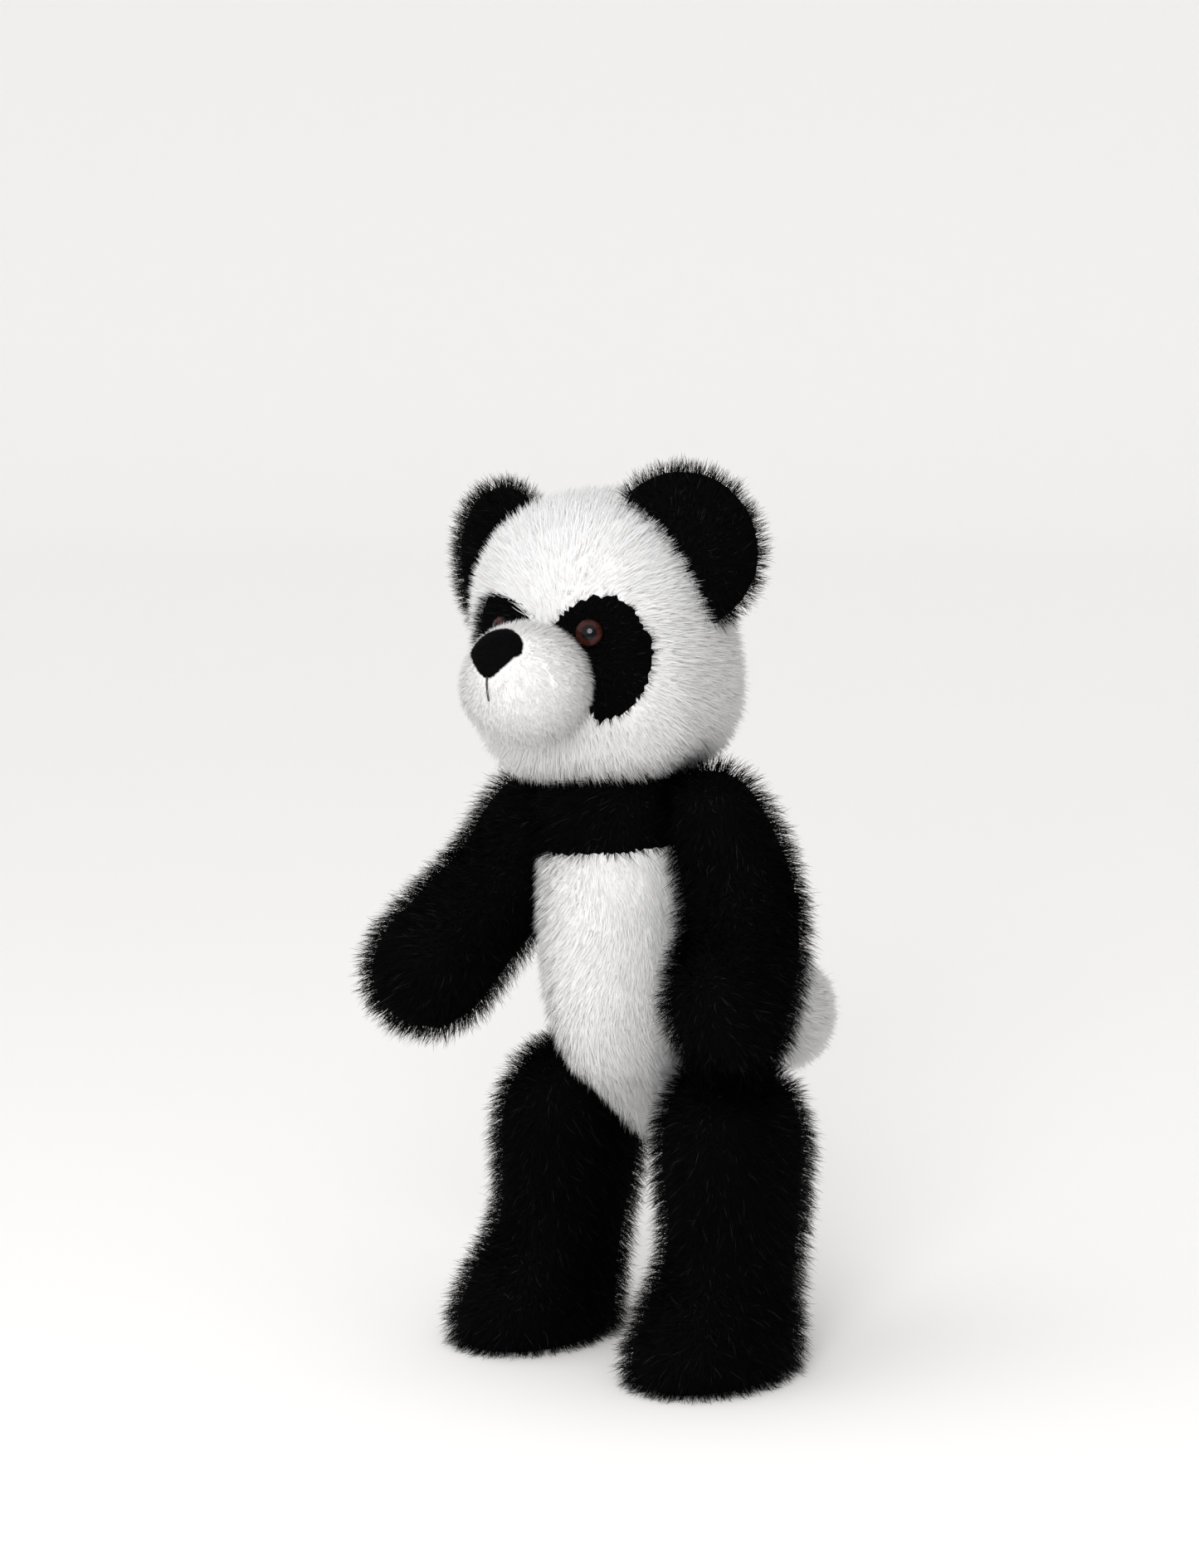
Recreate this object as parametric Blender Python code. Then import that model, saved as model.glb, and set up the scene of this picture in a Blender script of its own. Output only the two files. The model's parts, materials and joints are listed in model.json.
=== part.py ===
"""A plush panda that stands on its feet, built like a disc-jointed bear.

Sewn skins hold stuffing. The head, both arms and both legs turn on bolted pairs of hardboard
discs. Lengths are in millimetres and are turned into metres when a mesh is made. The panda faces
-Y, +Z is up and its left side is +X. The soles stand on z = 0.
"""

import math

import bmesh
import bpy
from mathutils import Matrix, Vector

MM = 0.001

# Fits
TOUCH_GAP = 0.3          # between pieces that touch
FILL_GAP = 0.8           # between a skin and its stuffing
JOINT_GAP = 0.6          # between the two skins that turn on each other at a joint

# Skins
SKIN = 3.0               # backing with the dense foot of the pile
SEAM_Z = 247.0           # seam between the black yoke and the white belly

# Joint hardware
DISC_THICK = 2.5
WASHER_RADIUS = 8.0
WASHER_THICK = 1.0
BOLT_RADIUS = 2.5
BOLT_HEAD_RADIUS = 5.0
BOLT_HEAD = 3.5
NUT_RADIUS = 5.0
NUT_THICK = 5.0
NUT_SIDES = 6
BOLT_END = 1.5           # bolt that stands out of the nut
BORE_GAP = 0.4           # round the bolt
THREAD_GAP = 0.01        # between the bolt and the flats of the nut's bore
DISC_PRESS = 0.15        # how far a disc presses its skin's wall

# Stance: the body leans towards its right side above the hips
LEAN = 6.5               # degrees
LEAN_LOW = 156.0         # the bend starts at this height
LEAN_HIGH = 235.0        # everything above this height is tilted by LEAN

# Neck
NECK_Y = -11.0
NECK_Z = 283.8
NECK_DISC_RADIUS = 20.0

# Head
HEAD_Y = -14.0
HEAD_Z = 349.5
HEAD_HALF_X = 59.0
HEAD_FRONT = 48.5
HEAD_BACK = 46.0
HEAD_UP = 62.0
HEAD_DOWN = 68.0
HEAD_SQUARE = 2.4        # 2 is a plain ellipsoid, and more is boxier
HEAD_JAW = 1.6           # how much boxier it gets towards the neck
HEAD_TURN = 5.0          # degrees that the head looks to its left

# Face
MUZZLE_RADIUS = 30.0
MUZZLE_SQUASH = 0.93      # height over width
MUZZLE_AHEAD = 66.0      # ahead of the head's middle
MUZZLE_DROP = 19.5       # below the head's middle
NOSE_RISE = 38.0         # degrees up the muzzle
NOSE_HALF_WIDTH = 15.0
NOSE_HALF_HEIGHT = 14.0
NOSE_PROUD = 4.0
NOSE_TAPER = 0.5         # how much narrower the pad is at its lower corner
NOSE_ROOT = 5.0          # from the muzzle's surface in to the pad's middle
MOUTH_BOTTOM = -10.0     # degrees up the muzzle
THREAD_RADIUS = 0.4
EYE_RADIUS = 7.0
EYE_X = 23.5
EYE_SUNK = 1.2            # behind the head's surface
EYE_RISE = 1.0
EYE_LIFT = 5.0           # degrees that an eye looks up
EYE_CAST = 14.4          # degrees that an eye looks further out than the head's surface
EYE_SKIRT = 2.2          # straight part under the dome
EYE_DOME = 4.2
EYE_STEM_RADIUS = 2.4
EYE_STEM = 13.0
EYE_WASHER_RADIUS = 6.0
EYE_WASHER = 1.4
EYE_WASHER_STAND = 3.5   # behind the head's skin
PATCH_X = 35.0
PATCH_AHEAD = 45.0
PATCH_DROP = 1.5
PATCH_REACH = 40.0       # half length of the prism that cuts a patch out
RIGHT_RISE = 4.0         # how much higher the right eye and patch are sewn
PATCH_TURN = 38.0        # degrees that an eye patch looks outwards

# Ears
EAR_RADIUS = 38.0
EAR_THICK = 12.0
EAR_X = 49.5
EAR_Y = -2.0             # behind the head's middle
EAR_RISE = 34.0
EAR_TURN = 20.0          # degrees that the outer edge sweeps back

# Torso
TORSO_TOP = NECK_Z - JOINT_GAP / 2
TORSO_SIDE = 36.0        # half width at the shoulders
HIP_SIDE = 21.0          # half width between the legs
TAIL_Y = 109.0
TAIL_Z = 146.0
TAIL_RADIUS = 22.0

# Arms
SHOULDER_Y = -12.0
SHOULDER_Z = 256.5
ARM_MIDDLE = 21.0        # from the joint to the middle of the upper arm
ARM_DISC_RADIUS = 13.0

# Legs
HIP_Y = 6.0
HIP_Z = 124.0
LEG_X = 49.0
LEG_DISC_RADIUS = 12.0
FOOT_SPREAD = 5.0        # how much further out the foot is than the hip
SOLE_Y = -20.0
SOLE_HALF_X = 25.0
SOLE_HALF_Y = 38.0
SOLE_THICK = 3.0
INSOLE_THICK = 2.0

BLACK = (0.012, 0.012, 0.013)
WHITE = (0.86, 0.86, 0.85)


# ---------------------------------------------------------------- mesh helpers

def clear_scene():
    """Removes whatever the scene holds."""
    for ob in list(bpy.data.objects):
        bpy.data.objects.remove(ob, do_unlink=True)


def material(name, colour, roughness, metallic=0.0):
    """A Principled material with one colour."""
    mat = bpy.data.materials.new(name)
    mat.use_nodes = True
    shader = mat.node_tree.nodes["Principled BSDF"]
    shader.inputs["Base Color"].default_value = (*colour, 1)
    shader.inputs["Roughness"].default_value = roughness
    shader.inputs["Metallic"].default_value = metallic
    mat.diffuse_color = (*colour, 1)
    return mat


def add_object(name, bm, mat, at=(0, 0, 0), turn=(0, 0, 0), smooth=True):
    """Turns a bmesh in millimetres into a named object in metres."""
    bmesh.ops.recalc_face_normals(bm, faces=bm.faces)
    bmesh.ops.scale(bm, vec=(MM, MM, MM), verts=bm.verts)
    mesh = bpy.data.meshes.new(name)
    bm.to_mesh(mesh)
    bm.free()
    if smooth:
        mesh.shade_smooth()
        mesh.set_sharp_from_angle(angle=math.radians(45))
    ob = bpy.data.objects.new(name, mesh)
    ob.location = Vector(at) * MM
    ob.rotation_euler = [math.radians(a) for a in turn]
    if mat is not None:
        mesh.materials.append(mat)
    bpy.context.collection.objects.link(ob)
    return ob


def cutter(name, bm, at=(0, 0, 0), turn=(0, 0, 0)):
    """A guide object that only cuts others."""
    ob = add_object(name, bm, None, at, turn, smooth=False)
    ob.hide_render = True
    ob.display_type = "WIRE"
    return ob


def cut(ob, *tools, operation="DIFFERENCE"):
    """Adds a Boolean modifier to ob for each tool."""
    for tool in tools:
        mod = ob.modifiers.new(tool.name[:40], "BOOLEAN")
        mod.operation = operation
        mod.solver = "EXACT"
        mod.object = tool
    return ob


def ball(radius, segments=14, rings=10, squash=(1, 1, 1)):
    """A UV sphere, scaled by squash."""
    bm = bmesh.new()
    bmesh.ops.create_uvsphere(bm, u_segments=segments, v_segments=rings, radius=radius)
    bmesh.ops.scale(bm, vec=squash, verts=bm.verts)
    return bm


def turned(profile, sides):
    """A solid turned about Z from (radius, z) points that start and end on the axis."""
    bm = bmesh.new()
    rows = []
    for radius, z in profile:
        if radius == 0:
            rows.append([bm.verts.new((0, 0, z))])
            continue
        angles = [2 * math.pi * i / sides for i in range(sides)]
        rows.append([bm.verts.new((radius * math.cos(a), radius * math.sin(a), z)) for a in angles])
    bridge_rows(bm, rows)
    return bm


def bridge_rows(bm, rows):
    """Joins rows of vertices, each a full ring or a single pole, with faces."""
    for low, high in zip(rows, rows[1:]):
        count = max(len(low), len(high))
        for i in range(count):
            j = (i + 1) % count
            if len(low) == 1:
                bm.faces.new((low[0], high[j], high[i]))
            elif len(high) == 1:
                bm.faces.new((low[i], low[j], high[0]))
            else:
                bm.faces.new((low[i], low[j], high[j], high[i]))


def rod(radius, low, high, sides=8):
    """A plain cylinder about Z."""
    return turned([(0, low), (radius, low), (radius, high), (0, high)], sides)


def ring(radius, bore, low, high, sides=14):
    """A flat ring about Z, closed round its bore."""
    bm = bmesh.new()
    corners = [(bore, low), (radius, low), (radius, high), (bore, high)]
    loops = []
    for i in range(sides):
        a = 2 * math.pi * i / sides
        loops.append([bm.verts.new((r * math.cos(a), r * math.sin(a), z)) for r, z in corners])
    for i in range(sides):
        this, other = loops[i], loops[(i + 1) % sides]
        for k in range(4):
            m = (k + 1) % 4
            bm.faces.new((this[k], other[k], other[m], this[m]))
    return bm


def inset(bm, depth):
    """A copy of a closed mesh with each face moved inwards by depth."""
    copy = bm.copy()
    copy.normal_update()
    moves = [v.normal * v.calc_shell_factor() * depth for v in copy.verts]
    for v, move in zip(copy.verts, moves):
        v.co -= move
    return copy


def shell(bm, depth):
    """A closed mesh and its inset, as one wall with an inner face."""
    wall = bm.copy()
    inner = inset(bm, depth)
    bmesh.ops.reverse_faces(inner, faces=inner.faces)
    spots = [wall.verts.new(v.co) for v in inner.verts]
    inner.verts.index_update()
    for face in inner.faces:
        wall.faces.new([spots[v.index] for v in face.verts])
    inner.free()
    return wall


def add_skin(name, bm, mat, at=(0, 0, 0), depth=SKIN):
    """A hollow skin. Its faces already point the right way, so they aren't recalculated."""
    wall = shell(bm, depth)
    bmesh.ops.scale(wall, vec=(MM, MM, MM), verts=wall.verts)
    mesh = bpy.data.meshes.new(name)
    wall.to_mesh(mesh)
    wall.free()
    mesh.shade_smooth()
    mesh.set_sharp_from_angle(angle=math.radians(45))
    mesh.materials.append(mat)
    ob = bpy.data.objects.new(name, mesh)
    ob.location = Vector(at) * MM
    bpy.context.collection.objects.link(ob)
    return ob


def smooth_between(points, t):
    """A point on a Catmull-Rom curve through the given vectors, with t from 0 to 1."""
    spans = len(points) - 1
    at = min(max(t * spans, 0), spans)
    i = min(int(at), spans - 1)
    f = at - i
    b, c = points[i], points[i + 1]
    a = points[i - 1] if i > 0 else b * 2 - c
    d = points[i + 2] if i + 2 <= spans else c * 2 - b
    return 0.5 * (2 * b + (c - a) * f + (2 * a - 5 * b + 4 * c - d) * f * f
                  + (3 * b - a - 3 * c + d) * f ** 3)


def limb(spine, sizes, wall_x, sides=12, rows=6, cap_rows=2):
    """A soft limb along a spine, with round ends and a flat side at local x = wall_x.

    Each size is (half width in X, half depth) at its spine point. The limb is modelled for the
    +X side, and its rings lie across the spine's direction in the YZ plane.
    """
    bm = bmesh.new()
    points = [Vector(p) for p in spine]
    halves = [Vector((a, b, 0)) for a, b in sizes]

    def frame(t):
        step = 0.02
        along = smooth_between(points, min(t + step, 1)) - smooth_between(points, max(t - step, 0))
        along.normalize()
        across = along.cross(Vector((1, 0, 0))).normalized()
        return smooth_between(points, t), smooth_between(halves, t), along, across

    def loop(centre, half, across, shrink):
        verts = []
        for i in range(sides):
            a = 2 * math.pi * i / sides
            spot = centre + Vector((1, 0, 0)) * half.x * shrink * math.cos(a)
            spot += across * half.y * shrink * math.sin(a)
            spot.x = max(spot.x, wall_x)
            verts.append(bm.verts.new(spot))
        return verts

    rows_made = []
    centre, half, along, across = frame(0)
    reach = (half.x + half.y) / 2
    pole = centre - along * reach
    rows_made.append([bm.verts.new(pole)])
    for k in range(1, cap_rows + 1):
        a = math.pi / 2 * k / (cap_rows + 1)
        rows_made.append(loop(centre - along * reach * math.cos(a), half, across, math.sin(a)))
    for k in range(rows + 1):
        centre, half, along, across = frame(k / rows)
        rows_made.append(loop(centre, half, across, 1))
    reach = (half.x + half.y) / 2
    for k in range(cap_rows, 0, -1):
        a = math.pi / 2 * k / (cap_rows + 1)
        rows_made.append(loop(centre + along * reach * math.cos(a), half, across, math.sin(a)))
    rows_made.append([bm.verts.new(centre + along * reach)])
    bridge_rows(bm, rows_made)
    bmesh.ops.recalc_face_normals(bm, faces=bm.faces)
    bmesh.ops.triangulate(bm, faces=bm.faces)
    return bm


def mirrored(bm, side):
    """The same mesh for the other side when side is -1."""
    if side < 0:
        bmesh.ops.scale(bm, vec=(-1, 1, 1), verts=bm.verts)
        bmesh.ops.reverse_faces(bm, faces=bm.faces)
    return bm


def turned_about_x(bm, degrees):
    """Turns a mesh about the X axis through its origin."""
    bmesh.ops.rotate(bm, cent=(0, 0, 0), matrix=Matrix.Rotation(math.radians(degrees), 3, "X"),
                     verts=bm.verts)
    return bm


# ---------------------------------------------------------------- stance

def leaned(point):
    """Where the bend of the body carries a point of the upright torso."""
    span = LEAN_HIGH - LEAN_LOW
    share = min(max((point.z - LEAN_LOW) / span, 0), 1)
    full = math.radians(LEAN)
    turn = full * share
    past = point.z - LEAN_LOW - span * share
    middle_x = -span * (1 - math.cos(turn)) / full - past * math.sin(turn)
    middle_z = LEAN_LOW + span * math.sin(turn) / full + past * math.cos(turn)
    return Vector((middle_x + point.x * math.cos(turn), point.y,
                   middle_z + point.x * math.sin(turn)))


def add_lean():
    """An empty that carries the upright upper body to its tilted place."""
    top = leaned(Vector((0, 0, LEAN_HIGH)))
    lean = bpy.data.objects.new("upper_body", None)
    bpy.context.collection.objects.link(lean)
    tilt = Matrix.Rotation(-math.radians(LEAN), 4, "Y")
    drop = Matrix.Translation((0, 0, -LEAN_HIGH * MM))
    lean.matrix_world = Matrix.Translation(top * MM) @ tilt @ drop
    return lean


def add_head_turn():
    """An empty that turns the head about the neck's bolt."""
    turn = bpy.data.objects.new("head_turn", None)
    bpy.context.collection.objects.link(turn)
    at = Matrix.Translation(Vector((0, NECK_Y, NECK_Z)) * MM)
    turn.matrix_world = at @ Matrix.Rotation(math.radians(HEAD_TURN), 4, "Z") @ at.inverted()
    return turn


def hang_on(parent):
    """Parents every object made so far that has no parent yet to parent."""
    for ob in bpy.data.objects:
        if ob is not parent and ob.parent is None:
            ob.parent = parent


# ---------------------------------------------------------------- joint hardware

def joint_hardware(name, at, turn, disc_radius, mats):
    """Adds the bolted disc pair of one joint and returns the cutters that make room for it.

    The middle of the joint's gap is at the local origin, and local +Z points into the moving piece.
    """
    face = JOINT_GAP / 2 + SKIN + TOUCH_GAP
    disc_top = face + DISC_THICK
    washer_low = disc_top + TOUCH_GAP
    washer_top = washer_low + WASHER_THICK
    end_low = washer_top + TOUCH_GAP
    bore = BOLT_RADIUS + BORE_GAP
    nut_bore = (BOLT_RADIUS + THREAD_GAP) / math.cos(math.pi / NUT_SIDES)
    nut_top = end_low + NUT_THICK
    bolt_top = nut_top + BOLT_END
    for part, sign in (("body", -1), ("limb", 1)):
        low, high = sorted((sign * face, sign * disc_top))
        add_object(f"{name}_{part}_disc", ring(disc_radius, bore, low, high), mats["board"],
                   at, turn)
        low, high = sorted((sign * washer_low, sign * washer_top))
        add_object(f"{name}_{part}_washer", ring(WASHER_RADIUS, bore, low, high, 12),
                   mats["steel"], at, turn)
    head_low = -end_low - BOLT_HEAD
    bolt = turned([(0, head_low), (BOLT_HEAD_RADIUS, head_low), (BOLT_HEAD_RADIUS, -end_low),
                   (BOLT_RADIUS, -end_low), (BOLT_RADIUS, bolt_top), (0, bolt_top)], 8)
    add_object(f"{name}_bolt", bolt, mats["steel"], at, turn)
    add_object(f"{name}_nut", ring(NUT_RADIUS, nut_bore, end_low, nut_top, NUT_SIDES),
               mats["steel"], at, turn, smooth=False)
    wall = JOINT_GAP / 2 + SKIN - DISC_PRESS
    tools = {}
    for part, sign, last in (("body", -1, -head_low), ("limb", 1, bolt_top)):
        steps = [(bore, 0), (bore, wall), (disc_radius + TOUCH_GAP, wall),
                 (disc_radius + TOUCH_GAP, disc_top + TOUCH_GAP),
                 (WASHER_RADIUS + TOUCH_GAP, disc_top + TOUCH_GAP),
                 (WASHER_RADIUS + TOUCH_GAP, last + TOUCH_GAP)]
        profile = [(0, 0)] + [(r, sign * z) for r, z in steps] + [(0, sign * (last + TOUCH_GAP))]
        tools[part] = cutter(f"cut_{name}_{part}", turned(profile, 14), at, turn)
    return tools


# ---------------------------------------------------------------- head

def head_form():
    """The head's outer form about its own middle, flat underneath at the neck."""
    bm = ball(1, 18, 12)
    floor = NECK_Z + JOINT_GAP / 2 - HEAD_Z
    for v in bm.verts:
        square = HEAD_SQUARE + HEAD_JAW * max(0, -v.co.z)
        x, y, z = v.co / sum(abs(c) ** square for c in v.co) ** (1 / square)
        cheek = 1 + 0.14 * max(0, -z) * (1 - abs(z))
        depth = HEAD_BACK if y > 0 else HEAD_FRONT
        height = HEAD_UP if z > 0 else HEAD_DOWN
        v.co = (x * HEAD_HALF_X * cheek, y * depth * cheek, max(z * height, floor))
    bmesh.ops.recalc_face_normals(bm, faces=bm.faces)
    bmesh.ops.triangulate(bm, faces=bm.faces)
    return bm


def right_rise(side):
    """How much higher a side of the face is sewn."""
    return RIGHT_RISE if side < 0 else 0


def patch_outline(extra):
    """The outline of the left eye patch, grown by extra, as (across, up) with +across outwards.

    A round outer side, a point towards the bridge of the nose and a tail that runs down and in.
    """
    corners = [(-26, 6), (-17, 15), (-7, 19), (4, 18), (12, 11), (18, -3), (17, -16), (12, -27),
               (3, -35), (-8, -39), (-18, -25), (-23, -8)]
    middle = Vector((0, -6))
    grown = []
    for corner in corners:
        spot = Vector(corner) - middle
        grown.append(spot * (1 + extra / spot.length) + middle)
    return grown


def patch_prism(side, extra):
    """A prism through the head's wall with the patch's outline."""
    bm = bmesh.new()
    turn = Matrix.Rotation(math.radians(PATCH_TURN), 3, "Z")
    rows = []
    for y in (-PATCH_REACH, PATCH_REACH):
        ring_points = [turn @ Vector((x, y, z)) for x, z in patch_outline(extra)]
        rows.append([bm.verts.new(p) for p in ring_points])
    bridge_rows(bm, rows)
    bm.faces.new(rows[0])
    bm.faces.new(rows[1])
    return mirrored(bm, side)


def muzzle_ball(extra):
    """The muzzle's form, grown by extra and a little flattened."""
    return ball(MUZZLE_RADIUS + extra, squash=(1, 1, MUZZLE_SQUASH))


def muzzle_spot(degrees, extra):
    """A place on the muzzle's front about its middle, so many degrees up and out by extra."""
    a = math.radians(degrees)
    out = MUZZLE_RADIUS + extra
    return Vector((0, -math.cos(a) * out, math.sin(a) * out * MUZZLE_SQUASH))


def add_head(mats):
    """Head skin, patches, muzzle, nose, mouth, eyes, ears and stuffing."""
    centre = Vector((0, HEAD_Y, HEAD_Z))
    muzzle_at = centre + Vector((0, -MUZZLE_AHEAD, -MUZZLE_DROP))
    neck = joint_hardware("neck", (0, NECK_Y, NECK_Z), (0, 0, 0), NECK_DISC_RADIUS, mats)
    form = head_form()

    muzzle_hole = cutter("cut_muzzle_hole", muzzle_ball(TOUCH_GAP), muzzle_at)
    core = cutter("cut_head_core", inset(form, SKIN + TOUCH_GAP / 2), centre)
    skin = cut(add_skin("head_skin", form, mats["white"], centre), neck["limb"])
    for side, word in ((1, "left"), (-1, "right")):
        at = centre + Vector((side * PATCH_X, -PATCH_AHEAD, right_rise(side) - PATCH_DROP))
        whole = cutter(f"cut_patch_{word}", patch_prism(side, 0), at)
        wide = cutter(f"cut_patch_{word}_wide", patch_prism(side, TOUCH_GAP), at)
        stem = cutter(f"cut_eye_stem_{word}", rod(EYE_STEM_RADIUS + TOUCH_GAP, -EYE_STEM, EYE_STEM),
                      *eye_place(side, centre))
        patch = add_skin(f"eye_patch_{word}", form, mats["black"], centre)
        cut(patch, muzzle_hole, stem)
        cut(patch, whole, operation="INTERSECT")
        cut(skin, wide)
        add_eye(word, side, centre, mats)
        add_ear(word, side, centre, form, mats)
    cut(skin, muzzle_hole)

    muzzle = add_skin("muzzle_skin", muzzle_ball(0), mats["white"], muzzle_at)
    cut(muzzle, core)
    for side, word in ((1, "left"), (-1, "right")):
        cut(muzzle, cutter(f"cut_eye_{word}", eye_room(TOUCH_GAP), *eye_place(side, centre)))
    add_nose(muzzle_at, mats)
    add_mouth(muzzle_at, mats)

    fill = add_object("head_stuffing", inset(form, SKIN + FILL_GAP), mats["fill"], centre)
    plug = cutter("cut_muzzle_fill", muzzle_ball(-SKIN - FILL_GAP), muzzle_at)
    cut(fill, plug, operation="UNION")
    cut(fill, neck["limb"])
    for side, word in ((1, "left"), (-1, "right")):
        room = rod(EYE_WASHER_RADIUS + FILL_GAP, -EYE_STEM - 2, 6)
        cut(fill, cutter(f"cut_washer_room_{word}", room, *eye_place(side, centre)))
        cut(fill, cutter(f"cut_eye_room_{word}", eye_room(FILL_GAP), *eye_place(side, centre)))
    return neck


def head_depth(x, z):
    """How far ahead of its middle the upper head reaches, at x across and z up."""
    rest = 1 - abs(x / HEAD_HALF_X) ** HEAD_SQUARE - abs(z / HEAD_UP) ** HEAD_SQUARE
    return HEAD_FRONT * rest ** (1 / HEAD_SQUARE)


def eye_place(side, centre):
    """Where an eye sits, and its turn: local +Z looks out of the head."""
    up = EYE_RISE + right_rise(side)
    at = centre + Vector((side * EYE_X, EYE_SUNK - head_depth(EYE_X, up), up))
    fall = head_depth(EYE_X - 0.5, up) - head_depth(EYE_X + 0.5, up)
    return at, (90 - EYE_LIFT, 0, side * (math.degrees(math.atan(fall)) + EYE_CAST))


def eye_room(gap):
    """The space that an eye takes, grown by gap."""
    low, shoulder, top = -EYE_STEM - gap, EYE_SKIRT - gap, EYE_SKIRT + EYE_DOME + gap
    return turned([(0, low), (EYE_STEM_RADIUS + gap, low), (EYE_STEM_RADIUS + gap, shoulder),
                   (EYE_RADIUS + gap, shoulder), (EYE_RADIUS + gap, top), (0, top)], 12)


def add_eye(word, side, centre, mats):
    """One safety eye: dome and stem in one, with its lock washer inside."""
    at, turn = eye_place(side, centre)
    profile = [(0, -EYE_STEM), (EYE_STEM_RADIUS, -EYE_STEM), (EYE_STEM_RADIUS, EYE_SKIRT),
               (EYE_RADIUS, EYE_SKIRT)]
    for k in range(1, 4):
        a = math.pi / 2 * k / 4
        profile.append((EYE_RADIUS * math.cos(a), EYE_SKIRT + EYE_DOME * math.sin(a)))
    profile.append((0, EYE_SKIRT + EYE_DOME))
    add_object(f"eye_{word}", turned(profile, 12), mats["eye"], at, turn)
    low = -SKIN - EYE_WASHER_STAND
    washer = ring(EYE_WASHER_RADIUS, EYE_STEM_RADIUS + TOUCH_GAP, low - EYE_WASHER, low, 10)
    add_object(f"eye_washer_{word}", washer, mats["plastic"], at, turn)


def add_ear(word, side, centre, form, mats):
    """One ear, a thick round flap whose base is cut to the head."""
    flap = ball(1)
    for v in flap.verts:
        x, y, z = v.co
        v.co = (x * EAR_RADIUS, y * EAR_THICK * (1 - 0.25 * x * x), z * EAR_RADIUS)
    bmesh.ops.rotate(flap, cent=(0, 0, 0), verts=flap.verts,
                     matrix=Matrix.Rotation(math.radians(EAR_TURN), 3, "Z"))
    mirrored(flap, side)
    at = centre + Vector((side * EAR_X, EAR_Y, EAR_RISE))
    ear = add_object(f"ear_{word}", flap, mats["black"], at)
    base = cutter(f"cut_ear_base_{word}", inset(form, -TOUCH_GAP), centre)
    cut(ear, base)


def add_nose(muzzle_at, mats):
    """A rounded three-cornered pad on the muzzle's upper front."""
    pad = ball(1, 12, 8)
    for v in pad.verts:
        x, y, z = v.co
        narrow = 1 - NOSE_TAPER * max(0, -z)
        v.co = (x * NOSE_HALF_WIDTH * narrow, y * (NOSE_PROUD + NOSE_ROOT), z * NOSE_HALF_HEIGHT)
    at = muzzle_at + muzzle_spot(NOSE_RISE, -NOSE_ROOT)
    nose = add_object("nose", pad, mats["nose"], at, (-NOSE_RISE, 0, 0))
    seat = cutter("cut_nose_seat", muzzle_ball(TOUCH_GAP), muzzle_at)
    return cut(nose, seat)


def add_mouth(muzzle_at, mats):
    """One stitch of thread straight down from the nose."""
    curve = bpy.data.curves.new("mouth_thread", "CURVE")
    curve.dimensions = "3D"
    curve.bevel_depth = THREAD_RADIUS * MM
    curve.bevel_resolution = 1
    curve.use_fill_caps = True
    steps = 10
    line = curve.splines.new("POLY")
    line.points.add(steps)
    clear = THREAD_RADIUS + TOUCH_GAP
    reach = (NOSE_HALF_HEIGHT + clear) / (MUZZLE_RADIUS * MUZZLE_SQUASH)
    top = NOSE_RISE - math.degrees(reach)
    for k in range(steps + 1):
        spot = muzzle_at + muzzle_spot(top + (MOUTH_BOTTOM - top) * k / steps, clear)
        line.points[k].co = (*(spot * MM), 1)
    curve.materials.append(mats["thread"])
    ob = bpy.data.objects.new("mouth_thread", curve)
    bpy.context.collection.objects.link(ob)


# ---------------------------------------------------------------- torso

def torso_form():
    """The torso, flat on top, with flat sides at the shoulders and between the legs."""
    levels = [  # height, front, back, half width
        (102.0, 24, 24, 0), (103.5, 4, 46, 11), (109.0, -3, 60, 18), (119.0, -13, 73, 23),
        (133.0, -29, 84, 26), (147.0, -48, 90, 28), (162.0, -57, 90, 32), (180.0, -60, 84, 38),
        (203.0, -59, 71, 40), (226.0, -56, 54, 40), (SEAM_Z, -50, 38, 39), (267.0, -46, 28, 38),
        (TORSO_TOP - 2, -41, 19, 31), (TORSO_TOP, -37, 15, 27), (TORSO_TOP, NECK_Y, NECK_Y, 0),
    ]
    shoulder_low = 190.0
    sides = 18
    bm = bmesh.new()
    rows = []
    for z, front, back, half_x in levels:
        y, half_y = (front + back) / 2, (back - front) / 2
        if half_x == 0:
            rows.append([bm.verts.new(leaned(Vector((0, y, z))))])
            continue
        share = min(max((z - LEAN_LOW) / (shoulder_low - LEAN_LOW), 0), 1)
        limit = HIP_SIDE + (TORSO_SIDE - HIP_SIDE) * share
        row = []
        for i in range(sides):
            a = 2 * math.pi * i / sides
            x = max(-limit, min(limit, half_x * math.cos(a)))
            row.append(bm.verts.new(leaned(Vector((x, y + half_y * math.sin(a), z)))))
        rows.append(row)
    bridge_rows(bm, rows)
    bmesh.ops.recalc_face_normals(bm, faces=bm.faces)
    bmesh.ops.triangulate(bm, faces=bm.faces)
    return bm


def block(low, high):
    """A box between two corners."""
    bm = bmesh.new()
    bmesh.ops.create_cube(bm, size=1)
    size = Vector(high) - Vector(low)
    bmesh.ops.scale(bm, vec=size, verts=bm.verts)
    bmesh.ops.translate(bm, vec=(Vector(low) + Vector(high)) / 2, verts=bm.verts)
    return bm


def seam_cutters():
    """Blocks that part the torso's skin at the seam between yoke and belly."""
    low, high = SEAM_Z - TOUCH_GAP / 2, SEAM_Z + TOUCH_GAP / 2
    below = cutter("cut_below_seam", block((-80, -120, 0), (80, 120, high)))
    above = cutter("cut_above_seam", block((-80, -120, low), (80, 120, 400)))
    return below, above


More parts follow.
